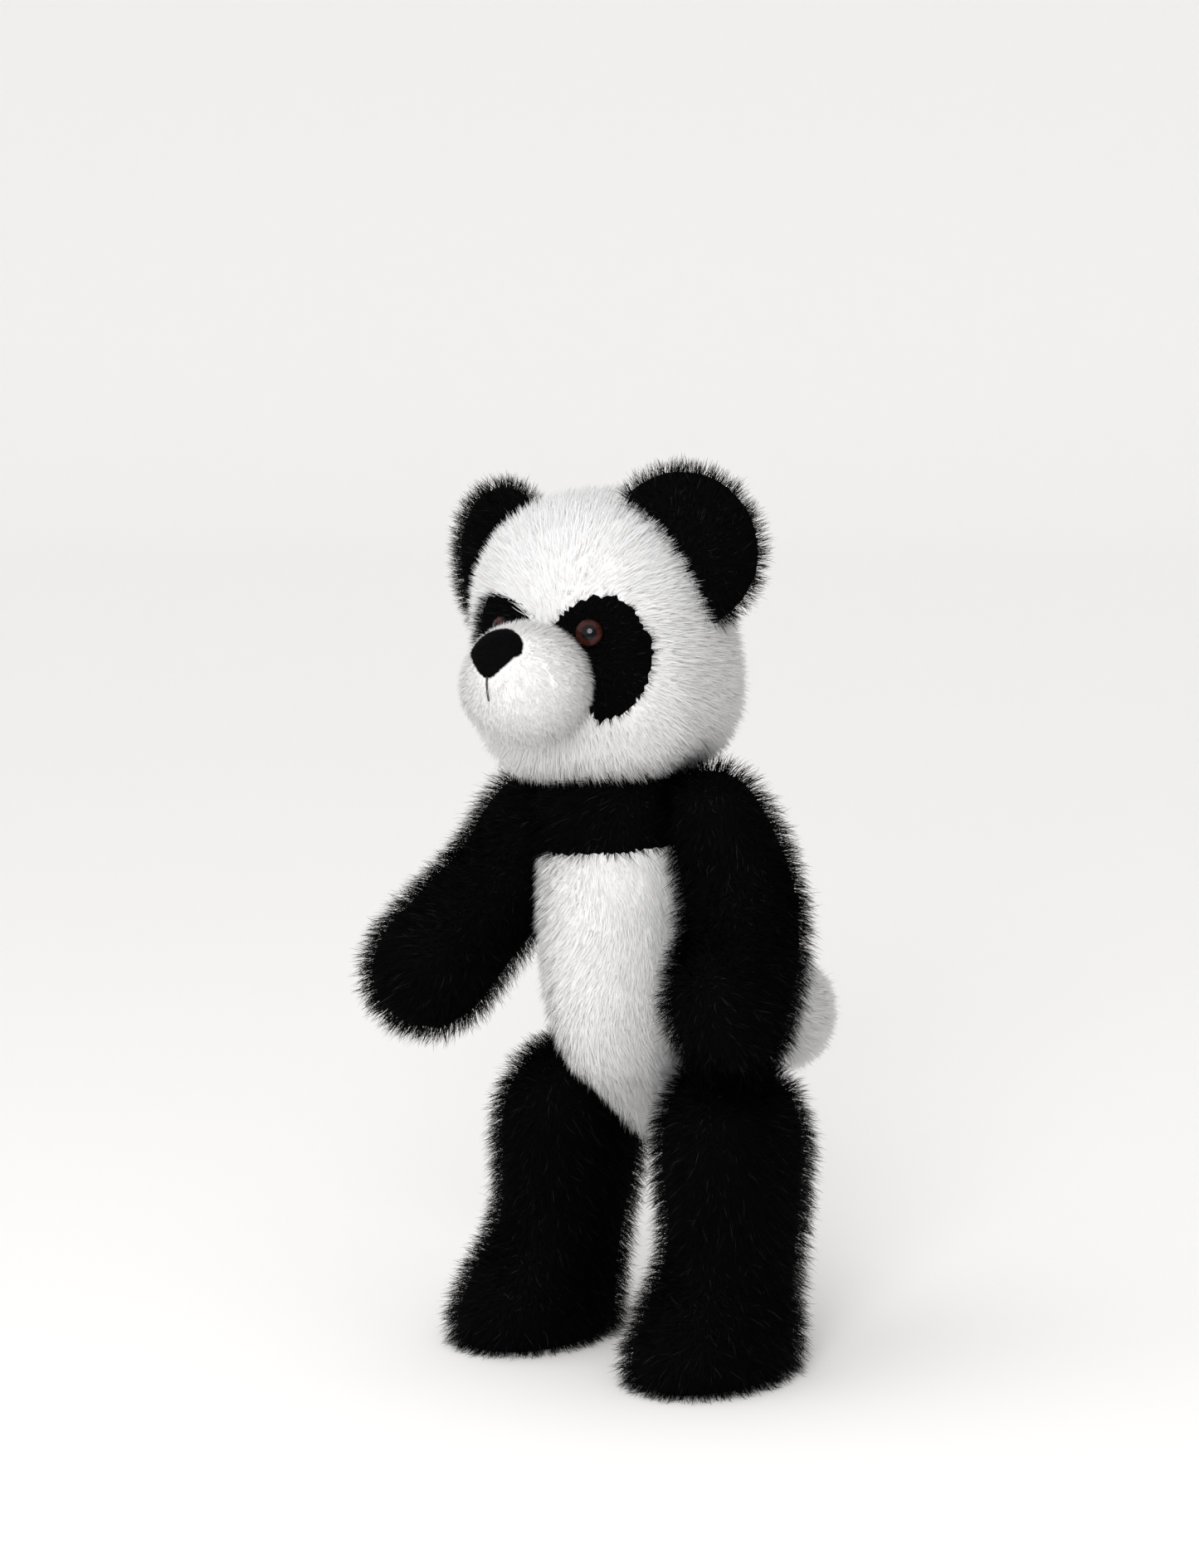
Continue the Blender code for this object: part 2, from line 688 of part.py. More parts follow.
def add_torso(mats, upper, hips, seams):
    """Yoke skin, belly skin, tail and stuffing."""
    form = torso_form()
    below, above = seams
    yoke = add_skin("yoke_skin", form, mats["black"])
    belly = add_skin("belly_skin", form, mats["white"])
    fill = add_object("torso_stuffing", inset(form, SKIN + FILL_GAP), mats["fill"])
    for tools in upper.values():
        cut(yoke, tools["body"])
        cut(fill, tools["body"])
    for name in ("shoulder_left", "shoulder_right"):
        cut(belly, upper[name]["body"])
    for tools in hips.values():
        cut(belly, tools["body"])
        cut(fill, tools["body"])
    cut(yoke, below)
    cut(belly, above)
    tail = add_object("tail", ball(TAIL_RADIUS, 12, 8, (0.95, 1.15, 1.15)), mats["white"],
                      (0, TAIL_Y, TAIL_Z), (-10, 0, 0))
    cut(tail, cutter("cut_tail_seat", inset(form, -TOUCH_GAP)))


# ---------------------------------------------------------------- arms and legs

def arm_form(side, elbow_back, paw_ahead, length, swing):
    """One arm about its shoulder joint, turned forwards by swing degrees."""
    middle = ARM_MIDDLE
    spine = [(middle, -2, 5), (middle + 5, elbow_back, -length * 0.35),
             (middle + 13, (elbow_back + paw_ahead) / 4, -length * 0.7),
             (middle + 18, paw_ahead, -length)]
    sizes = [(23, 20), (26, 26.5), (26, 28.5), (25.5, 31)]
    bm = limb(spine, sizes, JOINT_GAP / 2)
    turned_about_x(bm, -swing)
    return mirrored(bm, side)


def add_arm(word, side, mats, elbow_back, paw_ahead, length, swing):
    """One arm's skin and stuffing, with its shoulder joint."""
    at = (side * (TORSO_SIDE + JOINT_GAP / 2), SHOULDER_Y, SHOULDER_Z)
    tools = joint_hardware(f"shoulder_{word}", at, (0, side * 90, 0), ARM_DISC_RADIUS, mats)
    form = arm_form(side, elbow_back, paw_ahead, length, swing)
    cut(add_skin(f"arm_skin_{word}", form, mats["black"], at), tools["limb"])
    fill = add_object(f"arm_stuffing_{word}", inset(form, SKIN + FILL_GAP), mats["fill"], at)
    cut(fill, tools["limb"])
    return tools


def leg_form(side):
    """One leg about its hip joint, straight down to a flat-soled foot."""
    sides = 14
    middle = LEG_X - HIP_SIDE - JOINT_GAP / 2
    levels = [  # height, outward shift, half width, front, back
        (147.0, -6, 0, 3, 3), (145.0, -6, 11, -11, 17), (138.0, -5, 19, -23, 29),
        (126.0, -1, 27, -33, 38), (110.0, 0, 30, -38, 41), (90.0, 1, 29.5, -37, 40),
        (68.0, 2, 28, -34, 36), (50.0, 3, 27.5, -40, 32), (35.0, 4, 29.5, -53, 29),
        (22.0, 5, 31.5, -63, 28), (11.0, 5, 32.5, -67, 28), (4.0, 5, 32, -66, 27),
        (0.0, 5, 29, -62, 24), (0.0, 5, 0, -22, -22),
    ]
    bm = bmesh.new()
    rows = []
    for height, shift, half_x, front, back in levels:
        z = height - HIP_Z
        x0 = middle + shift * FOOT_SPREAD / 5
        if half_x == 0:
            rows.append([bm.verts.new((x0, front - HIP_Y, z))])
            continue
        row = []
        for i in range(sides):
            a = 2 * math.pi * i / sides
            y0, half_y = (back + front) / 2 - HIP_Y, (back - front) / 2
            x = max(x0 + half_x * math.cos(a), JOINT_GAP / 2)
            row.append(bm.verts.new((x, y0 + half_y * math.sin(a), z)))
        rows.append(row)
    bridge_rows(bm, rows)
    bmesh.ops.recalc_face_normals(bm, faces=bm.faces)
    bmesh.ops.triangulate(bm, faces=bm.faces)
    return mirrored(bm, side)


def add_leg(word, side, mats):
    """One leg's skin, sole, insole and stuffing, with its hip joint."""
    at = Vector((side * (HIP_SIDE + JOINT_GAP / 2), HIP_Y, HIP_Z))
    tools = joint_hardware(f"hip_{word}", at, (0, side * 90, 0), LEG_DISC_RADIUS, mats)
    form = leg_form(side)
    sole_x = LEG_X - HIP_SIDE - JOINT_GAP / 2 + FOOT_SPREAD
    sole_at = at + Vector((side * sole_x, SOLE_Y - HIP_Y, -HIP_Z))
    hole = cutter(f"cut_sole_{word}", sole_form(TOUCH_GAP, -5, SKIN + 5), sole_at)
    cut(add_skin(f"leg_skin_{word}", form, mats["black"], at), tools["limb"], hole)
    add_object(f"sole_{word}", sole_form(0, 0, SOLE_THICK), mats["sole"], sole_at)
    insole_low = SOLE_THICK + TOUCH_GAP
    insole_top = insole_low + INSOLE_THICK
    add_object(f"insole_{word}", sole_form(-1, insole_low, insole_top), mats["board"], sole_at)
    fill = add_object(f"leg_stuffing_{word}", inset(form, SKIN + FILL_GAP), mats["fill"], at)
    room = cutter(f"cut_insole_{word}", sole_form(0, -5, insole_top + TOUCH_GAP), sole_at)
    cut(fill, tools["limb"], room)
    return tools


def sole_form(extra, low, high):
    """A flat oval plate with the sole's outline grown by extra."""
    half_x, half_y = SOLE_HALF_X + extra, SOLE_HALF_Y + extra
    bm = bmesh.new()
    sides = 16
    rows = []
    for z in (low, high):
        row = []
        for i in range(sides):
            a = 2 * math.pi * i / sides
            row.append(bm.verts.new((half_x * math.cos(a), half_y * math.sin(a), z)))
        rows.append(row)
    bridge_rows(bm, rows)
    bm.faces.new(rows[0])
    bm.faces.new(rows[1])
    return bm


def centre_on_floor():
    """Moves everything so that the origin is at the bottom centre of the whole panda's box."""
    bpy.context.view_layer.update()
    graph = bpy.context.evaluated_depsgraph_get()
    spots = []
    for ob in bpy.data.objects:
        if ob.data is None or ob.hide_render:
            continue
        done = ob.evaluated_get(graph)
        mesh = done.to_mesh()
        spots += [done.matrix_world @ v.co for v in mesh.vertices]
        done.to_mesh_clear()
    low = Vector([min(spot[k] for spot in spots) for k in range(3)])
    high = Vector([max(spot[k] for spot in spots) for k in range(3)])
    middle = (low + high) / 2
    for ob in bpy.data.objects:
        if ob.parent is None:
            ob.location -= Vector((middle.x, middle.y, low.z))


def make_materials():
    """The materials of all pieces."""
    return {
        "white": material("white_plush", WHITE, 0.9),
        "black": material("black_plush", BLACK, 0.9),
        "fill": material("stuffing", (0.8, 0.8, 0.77), 1.0),
        "board": material("hardboard", (0.32, 0.2, 0.11), 0.7),
        "steel": material("zinc_steel", (0.6, 0.6, 0.6), 0.35, 1.0),
        "eye": material("eye_plastic", (0.05, 0.012, 0.006), 0.08),
        "plastic": material("white_plastic", (0.8, 0.8, 0.8), 0.5),
        "nose": material("nose_plush", (0.015, 0.015, 0.017), 0.8),
        "thread": material("thread", (0.03, 0.03, 0.03), 0.7),
        "sole": material("sole_plush", BLACK, 0.9),
    }


def main():
    """Builds the whole panda."""
    clear_scene()
    mats = make_materials()
    head_turn = add_head_turn()
    upper = {"neck": add_head(mats)}
    hang_on(head_turn)
    lean = add_lean()
    upper["shoulder_left"] = add_arm("left", 1, mats, 5, -29, 84, 0)
    upper["shoulder_right"] = add_arm("right", -1, mats, 4, -4, 85, 42)
    seams = seam_cutters()
    hang_on(lean)
    hips = {f"hip_{word}": add_leg(word, side, mats) for word, side in (("left", 1), ("right", -1))}
    add_torso(mats, upper, hips, seams)
    centre_on_floor()


main()
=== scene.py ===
"""The looks of a jointed plush panda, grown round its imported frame.

Each sewn body gets a rounded backing cloth and a coat of separate hairs. The eyes are domed, the
nose and muzzle carry a short pile, and the bolts and discs inside keep the frame's own shapes.
"""

import json
import logging
import math
import zlib
from dataclasses import dataclass, field
from enum import Enum
from typing import Callable, Iterable, Optional, Protocol, Sequence, Union

import bpy
import numpy as np
from mathutils import Matrix, Vector
from mathutils.bvhtree import BVHTree
from mathutils.kdtree import KDTree


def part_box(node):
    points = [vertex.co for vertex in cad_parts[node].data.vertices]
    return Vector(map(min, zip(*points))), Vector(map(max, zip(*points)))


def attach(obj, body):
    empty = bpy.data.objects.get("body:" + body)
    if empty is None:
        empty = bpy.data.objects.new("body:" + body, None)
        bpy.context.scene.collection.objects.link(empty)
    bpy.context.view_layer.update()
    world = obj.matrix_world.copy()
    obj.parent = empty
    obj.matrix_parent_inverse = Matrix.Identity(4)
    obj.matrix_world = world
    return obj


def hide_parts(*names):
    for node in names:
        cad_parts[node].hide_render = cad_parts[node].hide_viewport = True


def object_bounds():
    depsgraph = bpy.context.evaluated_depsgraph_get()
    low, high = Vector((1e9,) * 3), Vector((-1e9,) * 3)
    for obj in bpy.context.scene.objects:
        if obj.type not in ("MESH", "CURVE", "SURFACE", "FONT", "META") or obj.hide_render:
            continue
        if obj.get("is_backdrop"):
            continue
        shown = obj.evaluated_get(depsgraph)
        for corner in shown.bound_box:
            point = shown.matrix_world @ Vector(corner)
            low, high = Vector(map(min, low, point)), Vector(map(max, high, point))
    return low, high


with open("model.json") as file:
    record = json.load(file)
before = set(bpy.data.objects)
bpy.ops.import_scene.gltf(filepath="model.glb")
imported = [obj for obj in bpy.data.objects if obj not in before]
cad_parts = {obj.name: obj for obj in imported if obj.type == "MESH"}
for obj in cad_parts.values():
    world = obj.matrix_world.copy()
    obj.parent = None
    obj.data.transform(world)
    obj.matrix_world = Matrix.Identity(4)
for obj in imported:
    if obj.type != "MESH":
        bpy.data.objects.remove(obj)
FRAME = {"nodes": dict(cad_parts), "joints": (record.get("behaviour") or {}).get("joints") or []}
LOG = logging.getLogger("panda")
Colour = tuple[float, float, float]
Array = np.ndarray


# ---------------------------------------------------------------- shader maths

class Value:
    """One output of a shader node, with the arithmetic that it takes part in."""

    def __init__(self, graph: "Graph", socket: bpy.types.NodeSocket) -> None:
        """Wraps a socket.

        Args:
            graph: The graph that the socket belongs to.
            socket: The output socket.
        """
        self.graph = graph
        self.socket = socket

    def _math(self, operation: str, first: "Term", second: "Term") -> "Value":
        """Adds one Math node and returns its result."""
        return self.graph.node("ShaderNodeMath", {"operation": operation}, {0: first, 1: second})

    def __add__(self, other: "Term") -> "Value":
        """Sum."""
        return self._math("ADD", self, other)

    def __radd__(self, other: float) -> "Value":
        """Sum, reflected."""
        return self._math("ADD", other, self)

    def __sub__(self, other: "Term") -> "Value":
        """Difference."""
        return self._math("SUBTRACT", self, other)

    def __rsub__(self, other: float) -> "Value":
        """Difference, reflected."""
        return self._math("SUBTRACT", other, self)

    def __mul__(self, other: "Term") -> "Value":
        """Product."""
        return self._math("MULTIPLY", self, other)

    def __rmul__(self, other: float) -> "Value":
        """Product, reflected."""
        return self._math("MULTIPLY", other, self)

    def __truediv__(self, other: "Term") -> "Value":
        """Quotient."""
        return self._math("DIVIDE", self, other)

    def __pow__(self, other: "Term") -> "Value":
        """Power."""
        return self._math("POWER", self, other)

    def sine(self) -> "Value":
        """Sine of the value in radians."""
        return self._math("SINE", self, 0.0)

    def step(self, low: float, high: float) -> "Value":
        """A smooth step from 0 at low to 1 at high."""
        return self.graph.node(
            "ShaderNodeMapRange", {"interpolation_type": "SMOOTHSTEP"},
            {0: self, 1: low, 2: high, 3: 0.0, 4: 1.0},
        )


Term = Union[Value, float, Sequence[float]]


class Graph:
    """The node tree of one material, built from Python expressions."""

    def __init__(self, name: str) -> None:
        """Starts a material with one Principled shader.

        Args:
            name: The material's name.
        """
        self.material = bpy.data.materials.new(name)
        self.material.use_nodes = True
        self.tree = self.material.node_tree
        self.shader = self.tree.nodes["Principled BSDF"]

    def node(self, kind: str, settings: Optional[dict] = None,
             inputs: Optional[dict] = None, output: Union[int, str] = 0) -> Value:
        """Adds a node.

        Args:
            kind: The node's type, such as ShaderNodeMath.
            settings: Its settings, set before the inputs.
            inputs: Values or links by socket name or number.
            output: The output to return.

        Returns:
            The chosen output.
        """
        node = self.tree.nodes.new(kind)
        for key, value in (settings or {}).items():
            setattr(node, key, value)
        for key, value in (inputs or {}).items():
            self.feed(node.inputs[key], value)
        return Value(self, node.outputs[output])

    def feed(self, socket: bpy.types.NodeSocket, value: Term) -> None:
        """Links or sets an input socket."""
        if isinstance(value, Value):
            self.tree.links.new(value.socket, socket)
        else:
            socket.default_value = value

    def mix(self, factor: Term, first: Term, second: Term) -> Value:
        """A colour that runs from first to second."""
        return self.node("ShaderNodeMix", {"data_type": "RGBA"},
                         {0: factor, 6: rgba(first), 7: rgba(second)}, 2)

    def noise(self, where: Value, scale: float, detail: float = 3.0,
              roughness: float = 0.55) -> Value:
        """Smooth 3-D noise from 0 to 1."""
        return self.node("ShaderNodeTexNoise", None,
                         {"Vector": where, "Scale": scale, "Detail": detail,
                          "Roughness": roughness})

    def place(self) -> Value:
        """The place on the object, in metres."""
        return self.node("ShaderNodeTexCoord", None, None, "Object")

    def stretched(self, where: Value, scale: Sequence[float]) -> Value:
        """A place stretched by a scale for each axis."""
        return self.node("ShaderNodeVectorMath", {"operation": "MULTIPLY"},
                         {0: where, 1: tuple(scale)})

    def uv(self, name: str) -> tuple[Value, Value]:
        """The two coordinates of a UV map.

        Args:
            name: The map's name.

        Returns:
            Its two coordinates.
        """
        where = self.node("ShaderNodeUVMap", {"uv_map": name}, None, "UV")
        parts = self.tree.nodes.new("ShaderNodeSeparateXYZ")
        self.feed(parts.inputs[0], where)
        return Value(self, parts.outputs[0]), Value(self, parts.outputs[1])

    def bump(self, height: Value, strength: float, distance: float) -> None:
        """Feeds the shader's Normal from a height."""
        normal = self.node("ShaderNodeBump", None,
                           {"Strength": strength, "Distance": distance, "Height": height})
        self.feed(self.shader.inputs["Normal"], normal)

    def surface(self, **inputs: Term) -> None:
        """Sets or links the shader's own inputs, named with _ for a space."""
        for key, value in inputs.items():
            self.feed(self.shader.inputs[key.replace("_", " ")], value)


def rgba(colour: Term) -> Term:
    """A colour with an alpha of 1, or the value itself."""
    if isinstance(colour, Value):
        return colour
    return (*tuple(colour)[:3], 1.0)


# ---------------------------------------------------------------- finishes

@dataclass(frozen=True)
class FurFinish:
    """Hair that runs from a root colour to a tip colour, in a darker and a lighter strand, with a
    painted glint: a few strands get a lighter tip colour in place of highlights on single hairs.
    """

    name: str
    slot: str
    root_dark: Colour
    root_light: Colour
    tip_dark: Colour
    tip_light: Colour
    roughness: float
    specular: float
    # Painted glint: the lighter tip colour that a few strands get, standing in for highlights on
    # single hairs.
    painted_glint: Colour
    sheen: float = 0.0

    def material(self) -> bpy.types.Material:
        """Builds the material.

        Returns:
            A material that reads the strand map of the hairs.
        """
        graph = Graph(self.name)
        tone, along = graph.uv(STRAND_MAP)
        root = graph.mix(tone, self.root_dark, self.root_light)
        tip = graph.mix(tone, self.tip_dark, self.tip_light)
        # Strands with a tone over about 0.92 take the painted glint colour at their tips: a
        # painted highlight, not the hair's own colour.
        tip = graph.mix(tone.step(0.92, 0.97), tip, self.painted_glint)
        graph.surface(Base_Color=graph.mix(along ** 0.7, root, tip), Roughness=self.roughness,
                      Specular_IOR_Level=self.specular, Sheen_Weight=self.sheen,
                      Sheen_Roughness=0.4)
        return graph.material


@dataclass(frozen=True)
class ClothFinish:
    """Knitted backing with the dense foot of its pile."""

    name: str
    slot: str
    low: Colour
    high: Colour

    def material(self) -> bpy.types.Material:
        """Builds the material."""
        graph = Graph(self.name)
        where = graph.place()
        tufts = graph.noise(where, 900.0, 4.0)
        drift = graph.noise(where, 60.0)
        graph.surface(Base_Color=graph.mix(tufts * 0.7 + drift * 0.3, self.low, self.high),
                      Roughness=0.95, Specular_IOR_Level=0.04)
        graph.bump(tufts, 0.2, 0.0004)
        return graph.material


@dataclass(frozen=True)
class BoardFinish:
    """Pressed board, with fibres and a slightly worn tone."""

    name: str = "pressed_board"
    slot: str = "hardboard"

    def material(self) -> bpy.types.Material:
        """Builds the material."""
        graph = Graph(self.name)
        where = graph.place()
        fibre = graph.noise(graph.stretched(where, (900.0, 900.0, 120.0)), 1.0, 5.0)
        blotch = graph.noise(where, 90.0)
        colour = graph.mix(fibre * 0.6 + blotch * 0.4, (0.19, 0.105, 0.05), (0.43, 0.28, 0.16))
        graph.surface(Base_Color=colour, Roughness=0.55 + fibre * 0.3)
        graph.bump(fibre, 0.4, 0.0002)
        return graph.material


@dataclass(frozen=True)
class SteelFinish:
    """Zinc plated steel with fine turning marks."""

    name: str = "zinc_plate"
    slot: str = "zinc_steel"

    def material(self) -> bpy.types.Material:
        """Builds the material."""
        graph = Graph(self.name)
        where = graph.place()
        marks = graph.noise(graph.stretched(where, (2500.0, 300.0, 2500.0)), 1.0, 3.0)
        cloud = graph.noise(where, 220.0)
        colour = graph.mix(cloud, (0.5, 0.51, 0.53), (0.74, 0.74, 0.72))
        graph.surface(Base_Color=colour, Metallic=1.0, Roughness=0.22 + marks * 0.25)
        graph.bump(marks, 0.15, 0.00005)
        return graph.material


@dataclass(frozen=True)
class MouldedFinish:
    """Moulded white plastic with a faint grain."""

    name: str = "moulded_plastic"
    slot: str = "white_plastic"

    def material(self) -> bpy.types.Material:
        """Builds the material."""
        graph = Graph(self.name)
        grain = graph.noise(graph.place(), 1500.0)
        graph.surface(Base_Color=graph.mix(grain, (0.7, 0.7, 0.68), (0.82, 0.82, 0.8)),
                      Roughness=0.4 + grain * 0.2)
        graph.bump(grain, 0.2, 0.00005)
        return graph.material


@dataclass(frozen=True)
class EyeFinish:
    """A clear domed eye: black pupil, red-brown iris with fine rays, dark rim."""

    name: str = "domed_eye"
    slot: str = "eye_plastic"
    pupil: float = 0.5
    iris: float = 0.86

    def material(self) -> bpy.types.Material:
        """Builds the material, which reads the face map of the dome."""
        graph = Graph(self.name)
        across, up = graph.uv(DOME_MAP)
        across, up = across * 2.0 - 1.0, up * 2.0 - 1.0
        radius = (across * across + up * up) ** 0.5
        rays = graph.noise(graph.stretched(graph.place(), (1.0, 1.0, 1.0)), 1400.0, 2.0)
        iris = graph.mix(rays, (0.01, 0.0015, 0.001), (0.05, 0.009, 0.005))
        inner = graph.mix(radius.step(self.pupil - 0.05, self.pupil + 0.06),
                          (0.001, 0.001, 0.001), iris)
        colour = graph.mix(radius.step(self.iris - 0.08, self.iris + 0.05), inner,
                           (0.002, 0.001, 0.001))
        graph.surface(Base_Color=colour, Roughness=0.05, Specular_IOR_Level=0.2)
        return graph.material


@dataclass(frozen=True)
class ThreadFinish:
    """Waxed black thread with a twist."""

    name: str = "waxed_thread"
    slot: str = "thread"

    def material(self) -> bpy.types.Material:
        """Builds the material."""
        graph = Graph(self.name)
        fibre = graph.noise(graph.place(), 4000.0)
        graph.surface(Base_Color=graph.mix(fibre, (0.006, 0.006, 0.006), (0.03, 0.03, 0.032)),
                      Roughness=0.55)
        return graph.material


@dataclass(frozen=True)
class FloorFinish:
    """Matt pale paper."""

    name: str = "studio_paper"
    colour: Colour = (0.9, 0.893, 0.882)

    def material(self) -> bpy.types.Material:
        """Builds the material."""
        graph = Graph(self.name)
        graph.surface(Base_Color=rgba(self.colour), Roughness=1.0, Specular_IOR_Level=0.0)
        return graph.material


STRAND_MAP = "strand"
DOME_MAP = "dome"
BAKE_MAP = "OFBake"

# In each fur, the colour after the roughness and specular values is its painted glint: a lighter
# tip colour on a few strands in place of highlights.
WHITE_FUR = FurFinish("white_fur", "white_plush", (0.84, 0.83, 0.83), (0.9, 0.895, 0.895),
                      (0.92, 0.915, 0.915), (0.96, 0.958, 0.958), 0.75, 0.12,
                      (0.97, 0.97, 0.97), 0.1)
MUZZLE_FUR = FurFinish("muzzle_velvet", "white_plush", (0.78, 0.77, 0.768), (0.84, 0.832, 0.83),
                       (0.87, 0.862, 0.86), (0.92, 0.914, 0.91), 0.85, 0.06, (0.94, 0.94, 0.94),
                       0.0)
BLACK_FUR = FurFinish("black_fur", "black_plush", (0.0004, 0.0004, 0.0004),
                      (0.0006, 0.0006, 0.0007), (0.0006, 0.0006, 0.0007), (0.002, 0.002, 0.0022),
                      0.6, 0.04, (0.035, 0.035, 0.038))
NOSE_FUR = FurFinish("nose_velvet", "nose_plush", (0.0005, 0.0005, 0.0005), (0.001, 0.001, 0.001),
                     (0.001, 0.001, 0.0012), (0.004, 0.004, 0.0045), 0.7, 0.08,
                     (0.012, 0.012, 0.013))
WHITE_CLOTH = ClothFinish("white_backing", "white_plush", (0.78, 0.775, 0.77), (0.9, 0.895, 0.89))
BLACK_CLOTH = ClothFinish("black_backing", "black_plush", (0.0005, 0.0005, 0.0005),
                          (0.0015, 0.0015, 0.0016))
NOSE_CLOTH = ClothFinish("nose_backing", "nose_plush", (0.0006, 0.0006, 0.0006),
                         (0.002, 0.002, 0.002))
SOLE_CLOTH = ClothFinish("sole_backing", "sole_plush", (0.002, 0.002, 0.002),
                         (0.008, 0.008, 0.0085))
WADDING = ClothFinish("wadding", "stuffing", (0.6, 0.6, 0.58), (0.86, 0.86, 0.83))


class Finish(Protocol):
    """What every finish offers.

    Attributes:
        name: The material's name.
    """

    name: str

    def material(self) -> bpy.types.Material:
        """Builds the material."""


class Finishes:
    """Builds each material once."""

    def __init__(self) -> None:
        """Starts with none built."""
        self.built: dict[str, bpy.types.Material] = {}

    def of(self, finish: Finish) -> bpy.types.Material:
        """The material of a finish."""
        if finish.name not in self.built:
            self.built[finish.name] = finish.material()
        return self.built[finish.name]


# ---------------------------------------------------------------- surfaces

def unit(vectors: Array) -> Array:
    """Vectors scaled to length 1."""
    return vectors / np.maximum(np.linalg.norm(vectors, axis=-1, keepdims=True), 1e-12)


@dataclass
class Skin:
    """A triangle surface in the frame's own coordinates, in metres.

    Attributes:
        points: Its vertices.
        tris: Three vertex numbers for each triangle.
        normals: A smooth outward normal for each vertex.
    """

    points: Array
    tris: Array
    normals: Array = field(default=None)

    def __post_init__(self) -> None:
        """Works the normals out."""
        self.update()

    def update(self) -> None:
        """Works the normals out again after the points have moved."""
        a, b, c = (self.points[self.tris[:, k]] for k in range(3))
        flat = np.cross(b - a, c - a)
        total = np.zeros_like(self.points)
        for k in range(3):
            np.add.at(total, self.tris[:, k], flat)
        self.normals = unit(total)

    def centres(self) -> Array:
        """The middle of each triangle."""
        return self.points[self.tris].mean(axis=1)

    def areas(self) -> Array:
        """The area of each triangle."""
        a, b, c = (self.points[self.tris[:, k]] for k in range(3))
        return np.linalg.norm(np.cross(b - a, c - a), axis=1) / 2

    def smooth(self, rounds: int) -> None:
        """Relaxes the points and then swells the whole by what it lost.

        Args:
            rounds: How often each point moves half way to its neighbours' middle.
        """
        edges = np.concatenate([self.tris[:, [0, 1]], self.tris[:, [1, 2]], self.tris[:, [2, 0]]])
        edges = np.concatenate([edges, edges[:, ::-1]])
        count = np.bincount(edges[:, 0], minlength=len(self.points))[:, None]
        start, normals = self.points.copy(), self.normals.copy()
        for _ in range(rounds):
            total = np.zeros_like(self.points)
            for k in range(3):
                total[:, k] = np.bincount(edges[:, 0], self.points[edges[:, 1], k],
                                          len(self.points))
            self.points = (self.points + total / np.maximum(count, 1)) / 2
        lost = ((start - self.points) * normals).sum(axis=1).mean()
        self.update()
        self.points = self.points + self.normals * lost
        self.update()

    def part(self, keep: Array) -> "Skin":
        """The triangles that keep marks, as a surface of their own.

        Args:
            keep: Marks the triangles that stay.

        Returns:
            A surface of those triangles.
        """
        tris = self.tris[keep]
        used, flat = np.unique(tris, return_inverse=True)
        return Skin(self.points[used], flat.reshape(-1, 3))

    def moved(self, distance: float) -> "Skin":
        """A copy moved outwards along its normals."""
        return Skin(self.points + self.normals * distance, self.tris.copy())

    def object(self, name: str, material: bpy.types.Material) -> bpy.types.Object:
        """Makes it a smooth-shaded object.

        Args:
            name: The object's name.
            material: Its material.

        Returns:
            The object.
        """
        mesh = bpy.data.meshes.new(name)
        mesh.from_pydata(self.points.tolist(), [], self.tris.tolist())
        mesh.shade_smooth()
        mesh.materials.append(material)
        piece = bpy.data.objects.new(name, mesh)
        bpy.context.scene.collection.objects.link(piece)
        return piece


def node_tris(name: str) -> tuple[Array, Array]:
    """The vertices and triangles of a frame node.

    Args:
        name: The frame node's name.

    Returns:
        Its vertices and its triangles.
    """
    mesh = FRAME["nodes"][name].data
    mesh.calc_loop_triangles()
    points = np.zeros(len(mesh.vertices) * 3)
    mesh.vertices.foreach_get("co", points)
    tris = np.zeros(len(mesh.loop_triangles) * 3, int)
    mesh.loop_triangles.foreach_get("vertices", tris)
    return points.reshape(-1, 3), tris.reshape(-1, 3)


def tree_of(names: Iterable[str]) -> BVHTree:
    """A search tree over several frame nodes.

    Args:
        names: The frame nodes' names.

    Returns:
        One search tree over all of them.
    """
    points: list = []
    tris: list = []
    for name in names:
        p, t = node_tris(name)
        tris += (t + len(points)).tolist()
        points += p.tolist()
    return BVHTree.FromPolygons(points, tris)


def rounded_solid(names: Sequence[str], voxel: float, rounds: int) -> Skin:
    """One closed and rounded surface round several frame nodes.

    Args:
        names: The nodes, which touch or nearly touch.
        voxel: The size of the grid that they are merged on.
        rounds: How often the surface is relaxed.

    Returns:
        The outer surface only.
    """
    points: list = []
    tris: list = []
    for name in names:
        p, t = node_tris(name)
        tris += (t + len(points)).tolist()
        points += p.tolist()
    mesh = bpy.data.meshes.new("merge")
    mesh.from_pydata(points, [], tris)
    work = bpy.data.objects.new("merge", mesh)
    bpy.context.scene.collection.objects.link(work)
    merge = work.modifiers.new("merge", "REMESH")
    merge.mode = "VOXEL"
    merge.voxel_size = voxel
    bpy.context.view_layer.update()
    done = work.evaluated_get(bpy.context.evaluated_depsgraph_get())
    result = done.to_mesh()
    result.calc_loop_triangles()
    points_out = np.zeros(len(result.vertices) * 3)
    result.vertices.foreach_get("co", points_out)
    tris_out = np.zeros(len(result.loop_triangles) * 3, int)
    result.loop_triangles.foreach_get("vertices", tris_out)
    done.to_mesh_clear()
    bpy.data.objects.remove(work)
    skin = outermost(Skin(points_out.reshape(-1, 3), tris_out.reshape(-1, 3)))
    skin.smooth(rounds)
    return skin


